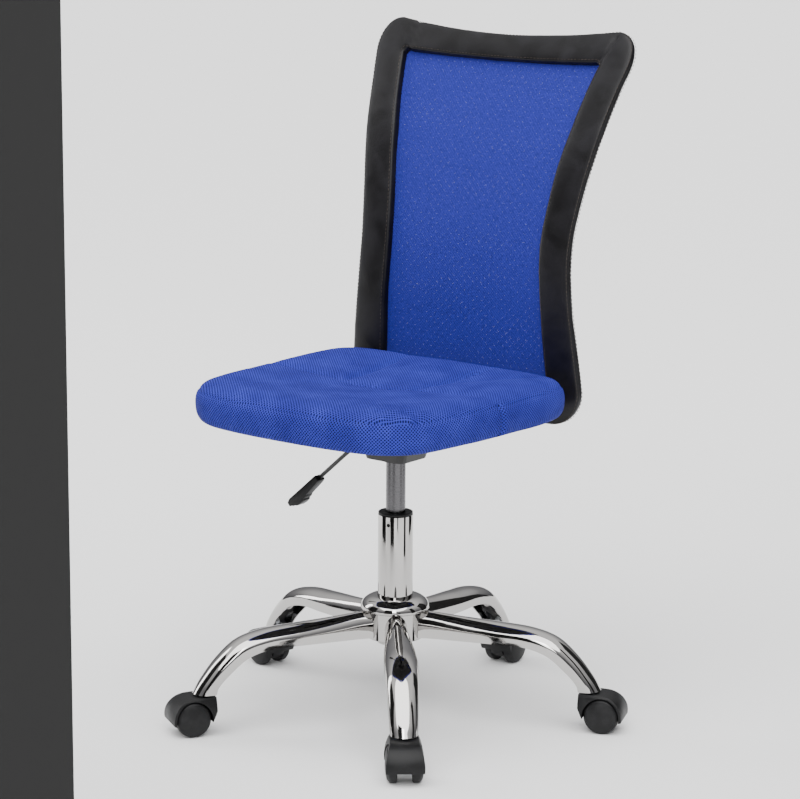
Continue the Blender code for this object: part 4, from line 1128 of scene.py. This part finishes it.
@dataclass
class SeatCushion(SubAssembly):
    """Foam seat wrapped in spacer mesh: a top panel sewn to a side band, pulled down by three seams."""

    # half of the outline, front middle to back middle
    outline: tuple[Row, ...] = (
        (0.000, -0.260), (0.090, -0.256), (0.156, -0.240), (0.197, -0.196), (0.211, -0.112), (0.217, -0.010),
        (0.216, 0.070), (0.202, 0.124), (0.156, 0.149), (0.080, 0.152), (0.000, 0.152),
    )
    # height and inset of the underside and the side band, up to the edge seam
    band: tuple[Row, ...] = ((0.4489, 0.0237), (0.4386, 0.0237), (0.4386, 0.0180), (0.4405, 0.0105),
                             (0.4450, 0.0050), (0.4530, 0.0012), (0.4620, 0.0000), (0.4710, 0.0002),
                             (0.4790, 0.0022), (0.4835, 0.0052))
    # height and inset of the top panel's rolled edge, inwards from the edge seam
    panel: tuple[Row, ...] = ((0.4835, 0.0052), (0.4885, 0.0095), (0.4925, 0.0165), (0.4945, 0.0280))
    # share of the way from the middle to the rolled edge, and height
    crown: tuple[Row, ...] = ((0.00, 0.4893), (0.20, 0.4895), (0.45, 0.4902), (0.62, 0.4914), (0.78, 0.4932),
                              (0.90, 0.4944), (1.00, 0.4945))
    middle: tuple[float, float] = (0.0, -0.055)
    around: int = 320
    band_rings: int = 26
    panel_rings: int = 14
    middle_rings: int = 60
    rise: float = 0.0030
    seam_width: float = 0.0095
    seam_depth: float = 0.0054
    cross_seam: float = -0.040
    puff: float = 0.0036
    # the underside is held below this height, and the seat's top lies above the other one
    held_below: float = 0.4440
    top_above: float = 0.480
    cloth_frames: int = 20
    cloth_pressure: float = 4.0

    def build(self) -> None:
        """Make the foam shape, inflate it, pull the seams in and sew them."""
        mesh = self.foam_mesh()
        mesh = self.inflated(mesh)
        self.pull_seams(mesh)
        piece = self.hand_over(shaded(mesh, Edge.SOFT), "seat", "blue_mesh", self.finishes.fabric,
                               ["seat_cushion"])
        self.sew()

    def ring(self, inset: float, height: float) -> np.ndarray:
        """The outline moved inwards by inset, at a height."""
        half = [tuple(p) for p in self.outline]
        mirrored = [(-x, y) for x, y in half[-2:0:-1]]
        whole = half + mirrored
        count = len(whole)
        wrapped = [(k - 2, *whole[(k - 2) % count]) for k in range(count + 5)]
        points = np.array([smooth_row(wrapped, count * k / self.around) for k in range(self.around)])
        along = np.roll(points, -1, 0) - np.roll(points, 1, 0)
        along /= np.linalg.norm(along, axis=1)[:, None]
        inward = np.stack([-along[:, 1], along[:, 0]], 1)
        flat = points + inward * inset
        return np.column_stack([flat, np.full(self.around, height)])

    def foam_mesh(self) -> Mesh:
        """Rings from the recess under the seat, up the side band and over the top panel to its middle."""
        rings = [self.ring(inset, height) for height, inset in dense(self.band, self.band_rings)]
        top = [self.ring(inset, height) for height, inset in dense(self.panel, self.panel_rings)]
        rings += top[1:]
        last = rings[-1]
        for share in np.linspace(1.0, 0.02, self.middle_rings + 1)[1:]:
            ring = last.copy()
            ring[:, :2] = np.array(self.middle) + (last[:, :2] - np.array(self.middle)) * share
            ring[:, 2] = smooth_row(self.crown, float(share))[0]
            rings.append(ring)
        mesh = loft("seat_foam", [ring.tolist() for ring in rings], edge=Edge.SOFT)
        self.lay_cloth(mesh)
        return mesh

    def lay_cloth(self, mesh: Mesh) -> None:
        """Write the fabric's own coordinates in metres: flat on the panel, wrapped round on the band."""
        layer = mesh.uv_layers.new(name="cloth")
        spots = np.array([v.co for v in mesh.vertices])
        edge = self.ring(0.0, 0.0)[:, :2]
        steps = np.linalg.norm(np.roll(edge, -1, 0) - edge, axis=1)
        along = np.concatenate([[0.0], np.cumsum(steps)[:-1]])
        length = float(steps.sum())
        nearest = np.array([int(np.argmin(((edge - p[:2]) ** 2).sum(1))) for p in spots])
        seam_height = self.panel[0][0] - 1e-5
        for face in mesh.polygons:
            on_band = face.center.z < seam_height
            lengths = [along[nearest[mesh.loops[i].vertex_index]] for i in face.loop_indices]
            for i, run in zip(face.loop_indices, lengths):
                x, y, z = spots[mesh.loops[i].vertex_index]
                if on_band:
                    if max(lengths) - min(lengths) > length / 2 and run < length / 2:
                        run += length
                    layer.data[i].uv = (run, z)
                else:
                    layer.data[i].uv = (x, y)

    def inflated(self, mesh: Mesh) -> Mesh:
        """Press the fabric out from inside while the underside is held, and keep a smooth, limited swell."""
        before = np.array([v.co for v in mesh.vertices])
        held = [v.index for v in mesh.vertices if v.co.z < self.held_below]

        def edit(holder: Object) -> None:
            """Run the cloth for twenty frames without gravity."""
            group = holder.vertex_groups.new(name="held")
            group.add(held, 1.0, "REPLACE")
            cloth = holder.modifiers.new("swell", "CLOTH")
            cloth.settings.vertex_group_mass = "held"
            cloth.settings.use_pressure = True
            cloth.settings.uniform_pressure_force = self.cloth_pressure
            cloth.settings.effector_weights.gravity = 0.0
            cloth.settings.quality = 5
            scene = bpy.context.scene
            for number in range(1, self.cloth_frames + 1):
                scene.frame_set(number)

        swollen = baked(mesh, edit)
        bpy.context.scene.frame_set(1)
        after = np.array([v.co for v in swollen.vertices])
        shift = after - before
        reach = np.linalg.norm(shift, axis=1)
        limited = self.rise * np.tanh(reach / self.rise)
        shift *= np.where(reach > 1e-9, limited / np.maximum(reach, 1e-9), 0.0)[:, None]
        for vertex, spot in zip(mesh.vertices, before + shift):
            vertex.co = spot
        LOG.info("cloth moved the foam by at most %.1f mm", 1000 * float(limited.max()))
        return mesh

    def seam_lines(self) -> list[list[Vector]]:
        """The three top seams in plan: one across, bowed forward in the middle, and two running back."""
        across = []
        for k in range(61):
            x = -0.214 + 0.428 * k / 60
            across.append(Vector((x, self.cross_seam - 0.014 * max(0.0, 1 - (x / 0.075) ** 2))))
        backs = [[Vector((side * (0.060 + 0.020 * t), self.cross_seam - 0.004 + 0.194 * t))
                  for t in np.linspace(0, 1, 24)] for side in (-1, 1)]
        return [across, *backs]

    def pull_seams(self, mesh: Mesh) -> None:
        """Sink the fabric along the seams, puff the panels between them and crease the slack front corner."""
        lines = [np.array([[p.x, p.y] for p in line]) for line in self.seam_lines()]
        spots = np.array([v.co for v in mesh.vertices])
        normals = np.array([v.normal for v in mesh.vertices])
        near = np.full(len(spots), 1.0)
        for line in lines:
            for start, end in zip(line, line[1:]):
                span = end - start
                share = np.clip(((spots[:, :2] - start) @ span) / (span @ span), 0, 1)
                gap = np.linalg.norm(spots[:, :2] - (start + share[:, None] * span), axis=1)
                near = np.minimum(near, gap)
        level = np.clip((spots[:, 2] - 0.4600) / 0.022, 0, 1)
        groove = np.exp(-((near / self.seam_width) ** 2))
        roll = 1 - np.exp(-((near / 0.050) ** 2))
        back_fade = np.clip((0.128 - spots[:, 1]) / 0.040, 0, 1)
        fade = back_fade * np.clip((0.205 - np.abs(spots[:, 0])) / 0.040, 0.25, 1)
        lift = level * (-self.seam_depth * groove * fade + self.puff * (roll - 0.70) * fade)
        side = np.abs(normals[:, 2]) < 0.75
        across = np.abs(spots[:, 1] - self.cross_seam)
        on_flank = side & (spots[:, 2] > 0.440) & (np.abs(spots[:, 0]) > 0.15)
        flank_seam = 0.0044 * np.exp(-((across / 0.0030) ** 2)) - 0.0014 * np.exp(-((across / 0.016) ** 2))
        lift -= np.where(on_flank, flank_seam, 0)
        edge = np.abs(spots[:, 2] - self.panel[0][0])
        lift -= np.where(side | (spots[:, 2] < 0.489), 0.0011 * np.exp(-((edge / 0.0016) ** 2)), 0)
        corner = np.hypot(spots[:, 0] - 0.175, spots[:, 1] + 0.215)
        for k, spot in enumerate(spots):
            if spot[2] < 0.4400:
                continue
            slack = math.exp(-((corner[k] / 0.055) ** 2)) * min(1.0, (spot[2] - 0.440) / 0.012)
            fold = noise.noise(Vector((spot[0] * 60, spot[1] * 60, spot[2] * 26)))
            broad = noise.noise(Vector((spot[0] * 9, spot[1] * 9, 3.0)))
            crease = noise.noise(Vector((spot[0] * 55, spot[1] * 20,
                                         spot[2] * 30))) * math.exp(-near[k] / 0.030)
            lift[k] += 0.0055 * slack * fold + 0.0014 * broad + 0.0009 * crease
        moved = spots + normals * lift[:, None]
        for vertex, spot in zip(mesh.vertices, moved):
            vertex.co = spot
        mesh.update()

    def sew(self) -> None:
        """Lay blue thread along the three top seams."""
        tree = stitch_tree()
        cushion = self.made[0]
        skin = cushion.data
        ground = BVHTree.FromPolygons([v.co for v in skin.vertices], [p.vertices for p in skin.polygons])
        shift = Vector((self.axis.x, self.axis.y, 0))
        runs: list[Mesh] = []
        for line in self.seam_lines():
            points = []
            for start, end in zip(line, line[1:]):
                for step in range(4):
                    plan = start + (end - start) * (step / 4)
                    hit = ground.ray_cast(Vector((plan.x, plan.y, 0.60)) + shift, Vector((0, 0, -1)))
                    if hit[0] is not None and hit[0].z > self.top_above:
                        points.append(hit[0] - shift - Vector((0, 0, 0.0001)))
            runs.append(line_mesh("top_seam", points))
        for k, run in enumerate(runs, 1):
            thread = grown(run, tree, self.finishes.blue_thread, Stitch_Length=0.0034, Stitch_Gap=0.0016,
                           Thread_Radius=0.00035)
            thread.name = f"seat_stitch_{k}"
            self.hand_over(shaded(thread, Edge.ROUND), "seat", "blue_mesh")


@dataclass(frozen=True)
class BackShape:
    """The backrest's curved front face and its edges, measured from the column's axis."""

    # height and depth of the front face
    profile: tuple[Row, ...] = (
        (0.400, 0.1574), (0.460, 0.1545), (0.540, 0.1489), (0.600, 0.1464), (0.660, 0.1494), (0.720, 0.1591),
        (0.800, 0.1792), (0.880, 0.2110), (0.970, 0.2572),
    )
    # height and half width of the cover's outer and inner edges
    outer: tuple[Row, ...] = ((0.400, 0.2065), (0.460, 0.2035), (0.540, 0.1948), (0.600, 0.1877),
                              (0.660, 0.1841),
                              (0.720, 0.1885), (0.800, 0.2005), (0.880, 0.2140), (0.970, 0.2330))
    inner: tuple[Row, ...] = ((0.400, 0.1492), (0.460, 0.1466), (0.540, 0.1419), (0.600, 0.1368),
                              (0.660, 0.1339),
                              (0.720, 0.1369), (0.800, 0.1482), (0.880, 0.1635), (0.970, 0.1809))
    outer_top: float = 0.970
    outer_low: float = 0.417
    inner_top: float = 0.926
    inner_low: float = 0.462

    def point(self, x: float, z: float, depth: float) -> Vector:
        """A point behind the front face at (x, z)."""
        step = 0.002
        slope = (smooth_row(self.profile, z + step)[0] - smooth_row(self.profile, z - step)[0]) / (2 * step)
        return Vector((x, smooth_row(self.profile, z)[0], z)) + Vector((0, 1, -slope)).normalized() * depth

    def half_loop(self, edge: Sequence[Row], low: float, top: float, dip: float, low_corner: float,
                  top_corner: float, top_drop: float) -> list[tuple[float, float]]:
        """One edge of the cover on the +X side, bottom middle to top middle, with a fixed number of points.

        Args:
            edge: height and half width rows.
            low: height of the bottom run.
            top: height of the top corners.
            dip: how far the top run sags in the middle.
            low_corner: radius of the bottom corner.
            top_corner: width of the top corner.
            top_drop: height of the top corner.

        Returns:
            The edge's points.
        """
        low_x = smooth_row(edge, low + low_corner)[0] - low_corner
        top_x = smooth_row(edge, top - top_drop)[0] - top_corner
        points = [(low_x * k / 18, low) for k in range(18)]
        for k in range(24):
            angle = math.radians(-90 + 90 * k / 24)
            points.append((low_x + low_corner * math.cos(angle),
                           low + low_corner + low_corner * math.sin(angle)))
        for k in range(66):
            z = low + low_corner + (top - top_drop - low - low_corner) * k / 66
            points.append((smooth_row(edge, z)[0], z))
        for k in range(20):
            angle = math.radians(90 * k / 20)
            lean = (smooth_row(edge, top)[0] - smooth_row(edge, top - top_drop)[0]) * math.sin(angle)
            points.append((top_x + lean + top_corner * math.cos(angle),
                           top - top_drop + top_drop * math.sin(angle)))
        top_x += smooth_row(edge, top)[0] - smooth_row(edge, top - top_drop)[0]
        for k in range(25):
            x = top_x * (1 - k / 24)
            points.append((x, top - dip * (1 - (x / top_x) ** 2)))
        return points

    def loops(self) -> list[tuple[tuple[float, float], tuple[float, float]]]:
        """The cover's inner and outer edges all the way round, point for point."""
        inner = self.half_loop(self.inner, self.inner_low, self.inner_top, 0.004, 0.020, 0.006, 0.006)
        outer = self.half_loop(self.outer, self.outer_low, self.outer_top, 0.014, 0.050, 0.042, 0.050)
        pairs = list(zip(inner, outer))
        return pairs + [((-a[0], a[1]), (-b[0], b[1])) for a, b in pairs[-2:0:-1]]

    def across(self, pair: tuple[tuple[float, float],
                                 tuple[float, float]], share: float, depth: float) -> Vector:
        """A point on the cover's section, at a share of the way from the inner to the outer edge."""
        (inner_x, inner_z), (outer_x, outer_z) = pair
        return self.point(inner_x + (outer_x - inner_x) * share, inner_z + (outer_z - inner_z) * share, depth)


@dataclass
class BackCover(SubAssembly):
    """Padded leather loop round the nets, piped at its edges and sewn across at the top corners."""

    shape: BackShape = field(default_factory=BackShape)
    # share of the way from inner to outer edge, and depth behind the front face: skin, then lining
    skin: tuple[Row, ...] = (
        (0.000, 0.0130), (0.000, 0.0080), (0.010, 0.0038), (0.045, 0.0014), (0.140, 0.0000), (0.350, -0.0010),
        (0.600, -0.0012), (0.820, -0.0006), (0.940, 0.0004), (0.992, 0.0022), (1.004, 0.0052), (0.998,
                                                                                                0.0092),
        (0.960, 0.0138), (0.870, 0.0190), (0.680, 0.0240), (0.450, 0.0266), (0.200, 0.0264), (0.060, 0.0254),
        (0.010, 0.0232), (0.000, 0.0200),
    )
    lining: tuple[Row, ...] = (
        (0.050, 0.0200), (0.070, 0.0236), (0.450, 0.0249), (0.820, 0.0180), (0.945, 0.0105), (0.945, 0.0050),
        (0.550, 0.0010), (0.070, 0.0032), (0.050, 0.0130),
    )
    skin_steps: int = 52
    # ends of the two seams across the top corners, (x, height)
    corner_seams: tuple[tuple[Row, Row], ...] = (
        ((-0.167, 0.923), (-0.158, 0.9685)), ((0.172, 0.923), (0.191, 0.9610)),
    )

    def build(self) -> None:
        """Make the leather loop and its stitching."""
        pairs = self.shape.loops()
        section = [tuple(row) for row in dense(self.skin, self.skin_steps)]
        section += [tuple(row) for row in self.lining]
        rings = []
        for number, pair in enumerate(pairs):
            rings.append([tuple(self.shape.across(pair, share, depth)) for share, depth in section])
        mesh = loft("leather_loop", rings, closed=True, edge=Edge.SOFT)
        self.wrinkle(mesh)
        self.hand_over(shaded(mesh,
                              Edge.SOFT), "seat", "black_leather", self.finishes.leather, ["back_cover"])
        self.sew(pairs)
        self.redress(self.finishes.powder, "back_tube")

    def seam_gap(self, x: float, z: float) -> float:
        """Distance to the nearest corner seam, in the plane of the back."""
        gaps = []
        for start, end in self.corner_seams:
            a, b, p = Vector(start), Vector(end), Vector((x, z))
            share = min(1.0, max(0.0, (p - a).dot(b - a) / (b - a).length_squared))
            gaps.append((p - (a + (b - a) * share)).length)
        return min(gaps)

    def wrinkle(self, mesh: Mesh) -> None:
        """Sink the corner seams and raise soft gathers and dents in the leather."""
        moved = []
        for vertex in mesh.vertices:
            x, y, z = vertex.co
            gap = self.seam_gap(x, z)
            groove = -0.0022 * math.exp(-((gap / 0.0026) ** 2))
            gather = 0.0007 * math.exp(-gap / 0.022) * noise.noise(Vector((x * 90, y * 60, z * 90)))
            dent = 0.0009 * noise.noise(Vector((x * 14, y * 14, z * 14 + 5.0)))
            ripple = 0.0004 * noise.noise(Vector((x * 45, y * 45, z * 45)))
            moved.append(vertex.co + vertex.normal * (groove + gather + dent + ripple))
        for vertex, spot in zip(mesh.vertices, moved):
            vertex.co = spot
        mesh.update()

    def sew(self, pairs: Sequence[Any]) -> None:
        """Lay topstitch beside the inner edge and on the outer edge."""
        tree = stitch_tree()
        for name, share, depth in (("inner_topstitch", 0.085, 0.0002), ("outer_topstitch", 0.975, 0.0012),
                                   ("side_topstitch", 0.9990, 0.0118)):
            path = [self.shape.across(pair, share, depth) for pair in pairs]
            thread = grown(line_mesh(name, path, closed=True), tree, self.finishes.topstitch,
                           Stitch_Length=0.0046, Stitch_Gap=0.0012, Thread_Radius=0.00042)
            thread.name = name
            self.hand_over(shaded(thread, Edge.ROUND), "seat", "black_leather")


@dataclass
class StretchedNets(SubAssembly):
    """The two knitted nets, pulled straight from side to side inside the leather loop."""

    shape: BackShape = field(default_factory=BackShape)
    front_depth: float = 0.0112
    rear_depth: float = 0.0212
    tuck: float = 0.007
    # half of the flat width that is declared; the sheets themselves are wider near the top
    declared_half_width: float = 0.166
    front_pitch: float = 0.0048
    rear_pitch: float = 0.0036
    front_opening: float = 0.30
    rear_opening: float = 0.12
    relief: float = 0.0006

    def build(self) -> None:
        """Knit the front and rear nets."""
        tree = net_tree()
        for name, depth, pitch, opening, node in (
                ("front_net", self.front_depth, self.front_pitch, self.front_opening, "net_front"),
                ("rear_net", self.rear_depth, self.rear_pitch, self.rear_opening, "net_rear")):
            sheet = self.diamond_sheet(name, depth, pitch)
            net = grown(sheet, tree, self.finishes.net, Opening_Share=opening, Yarn_Relief=self.relief)
            net.name = name
            piece = self.hand_over(shaded(net, Edge.ROUND), "seat", "blue_net", None, [node])

    def diamond_sheet(self, name: str, depth: float, pitch: float) -> Mesh:
        """A sheet of diamonds whose corners lie on the net's surface."""
        half = pitch / 2
        low, top = self.shape.inner_low - self.tuck, self.shape.inner_top + self.tuck - 0.004
        columns, rows = int(0.18 / half) + 2, int((top - low) / half) + 1
        points: list[Vector] = []
        index: dict[tuple[int, int], int] = {}

        def corner(a: int, b: int) -> int:
            """The number of a lattice corner, made when first asked for."""
            if (a, b) not in index:
                index[a, b] = len(points)
                points.append(self.shape.point(a * half, low + b * half, depth))
            return index[a, b]

        faces = []
        for b in range(1, rows):
            z = low + b * half
            reach = smooth_row(self.shape.inner, z)[0] + self.tuck
            for a in range(-columns, columns + 1):
                if (a + b) % 2 == 0 and abs(a * half) + half < reach:
                    faces.append((corner(a - 1, b), corner(a, b - 1), corner(a + 1, b), corner(a, b + 1)))
        mesh = bpy.data.meshes.new(name)
        mesh.from_pydata([tuple(p) for p in points], [], faces)
        return mesh


@dataclass
class Studio:
    """A wide pale floor, soft lights and the camera."""

    axis: Vector
    camera_yaw: float = 37.8
    camera_distance: float = 4.1
    camera_height: float = 1.3193
    camera_aside: float = 0.0052
    pitch: float = 11.86
    roll: float = 0.37
    lens: float = 133.92

    def build(self) -> None:
        """Lay the floor, light it and set the camera."""
        self.floor()
        self.lights()
        self.cards()
        self.camera()

    def floor(self) -> None:
        """A plain matt floor that runs past the camera's view."""
        mesh = bpy.data.meshes.new("studio_floor")
        reach = 60.0
        mesh.from_pydata([(-reach, -reach, 0), (reach, -reach, 0), (reach, reach, 0), (-reach, reach, 0)], [],
                         [(0, 1, 2, 3)])
        material, tree, shader = blank("matt_white_floor")
        shader.inputs["Base Color"].default_value = linear("#F4F4F4")
        shader.inputs["Roughness"].default_value = 0.9
        shader.inputs["Specular IOR Level"].default_value = 0.1
        mesh.materials.append(material)
        floor = bpy.data.objects.new("studio_floor", mesh)
        bpy.context.scene.collection.objects.link(floor)

    def lights(self) -> None:
        """A pale sky that darkens towards the horizon, and two large soft lights."""
        world = bpy.data.worlds.new("soft_studio")
        world.use_nodes = True
        tree = world.node_tree
        tree.nodes.clear()
        place = add(tree, "ShaderNodeTexCoord")
        split = add(tree, "ShaderNodeSeparateXYZ", {"Vector": place.outputs["Generated"]})
        ramp = add(tree, "ShaderNodeValToRGB", {"Fac": split.outputs["Z"]})
        ramp.color_ramp.elements[0].position = 0.02
        ramp.color_ramp.elements[0].color = (0.10, 0.10, 0.11, 1)
        ramp.color_ramp.elements[1].position = 0.75
        ramp.color_ramp.elements[1].color = (1.0, 1.0, 1.0, 1)
        middle = ramp.color_ramp.elements.new(0.35)
        middle.color = (0.30, 0.30, 0.31, 1)
        sky = add(tree, "ShaderNodeBackground", {"Color": ramp.outputs["Color"], "Strength": 1.25})
        add(tree, "ShaderNodeOutputWorld", {"Surface": sky.outputs[0]})
        bpy.context.scene.world = world
        sun = bpy.data.lights.new("broad_sun", "SUN")
        sun.angle = math.radians(70)
        sun.energy = 4.2
        sky_light = bpy.data.objects.new("broad_sun", sun)
        sky_light.rotation_euler = (math.radians(24), math.radians(14), 0)
        bpy.context.scene.collection.objects.link(sky_light)
        for name, place_xyz, width, height, power in (("key_softbox", (2.4, -3.4, 2.2), 0.9, 2.4, 60.0),
                                                      ("fill_softbox", (-3.4, -1.0, 1.8), 0.8, 2.4, 40.0)):
            lamp = bpy.data.lights.new(name, "AREA")
            lamp.shape = "RECTANGLE"
            lamp.size, lamp.size_y = width, height
            lamp.energy = power
            holder = bpy.data.objects.new(name, lamp)
            holder.location = place_xyz
            aim = Vector((0.0, 0.0, 0.5)) - Vector(place_xyz)
            holder.rotation_euler = aim.to_track_quat("-Z", "Y").to_euler()
            bpy.context.scene.collection.objects.link(holder)

    def cards(self) -> None:
        """Tall dark cards out of the camera's view, which give bright metal something to reflect."""
        material, tree, shader = blank("matt_black_card")
        shader.inputs["Base Color"].default_value = linear("#0A0A0A")
        shader.inputs["Roughness"].default_value = 0.9
        for number, (yaw, distance, width, height) in enumerate(((-22, 1.7, 0.8, 1.5), (62, 1.25, 0.30, 1.3),
                                                                 (112, 1.6, 0.9, 1.5), (-80, 1.6, 0.9, 1.5),
                                                                 (14, 2.9, 0.35, 0.9)), 1):
            angle = math.radians(yaw + self.camera_yaw)
            out = Vector((math.sin(angle), -math.cos(angle), 0))
            side = Vector((math.cos(angle), math.sin(angle), 0)) * width / 2
            foot = self.axis + out * distance
            mesh = bpy.data.meshes.new(f"black_card_{number}")
            mesh.from_pydata([tuple(foot - side), tuple(foot + side),
                              tuple(foot + side + Vector((0, 0, height))),
                              tuple(foot - side + Vector((0, 0, height)))], [], [(0, 1, 2, 3)])
            mesh.materials.append(material)
            card = bpy.data.objects.new(mesh.name, mesh)
            bpy.context.scene.collection.objects.link(card)

    def camera(self) -> None:
        """A long lens a little above the backrest, from the sitter's front left."""
        yaw, pitch = math.radians(self.camera_yaw), math.radians(self.pitch)
        spot = self.axis + Vector((math.sin(yaw), -math.cos(yaw), 0)) * self.camera_distance
        spot += Vector((math.cos(yaw), math.sin(yaw), 0)) * self.camera_aside
        data = bpy.data.cameras.new("camera")
        data.sensor_width = 36.0
        data.lens = self.lens
        data.clip_end = 200.0
        camera = bpy.data.objects.new("camera", data)
        forward = Vector((-math.sin(yaw) * math.cos(pitch), math.cos(yaw) * math.cos(pitch),
                          -math.sin(pitch)))
        right = Vector((math.cos(yaw), math.sin(yaw), 0))
        up = right.cross(forward)
        turn = Matrix((right, up, -forward)).transposed().to_4x4()
        roll = Matrix.Rotation(math.radians(self.roll), 4, "Z")
        camera.matrix_world = Matrix.Translation(Vector((spot.x, spot.y, self.camera_height))) @ turn @ roll
        bpy.context.scene.collection.objects.link(camera)
        bpy.context.scene.camera = camera


def main() -> None:
    """Build every sub-assembly and the studio."""
    logging.basicConfig(level=logging.INFO, format="%(message)s")
    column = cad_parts["column_tube"]
    corners = [column.matrix_world @ Vector(corner) for corner in column.bound_box]
    axis = Vector((sum(c.x for c in corners) / 8, sum(c.y for c in corners) / 8, 0))
    finishes = Finishes()
    for kind in (StarBase, GasLift, CastorSet, SeatMechanism, SeatCushion, BackCover, StretchedNets):
        LOG.info("%s", kind.__name__)
        kind(finishes, axis).build()
    Studio(axis).build()


if __name__ == "__main__":
    main()
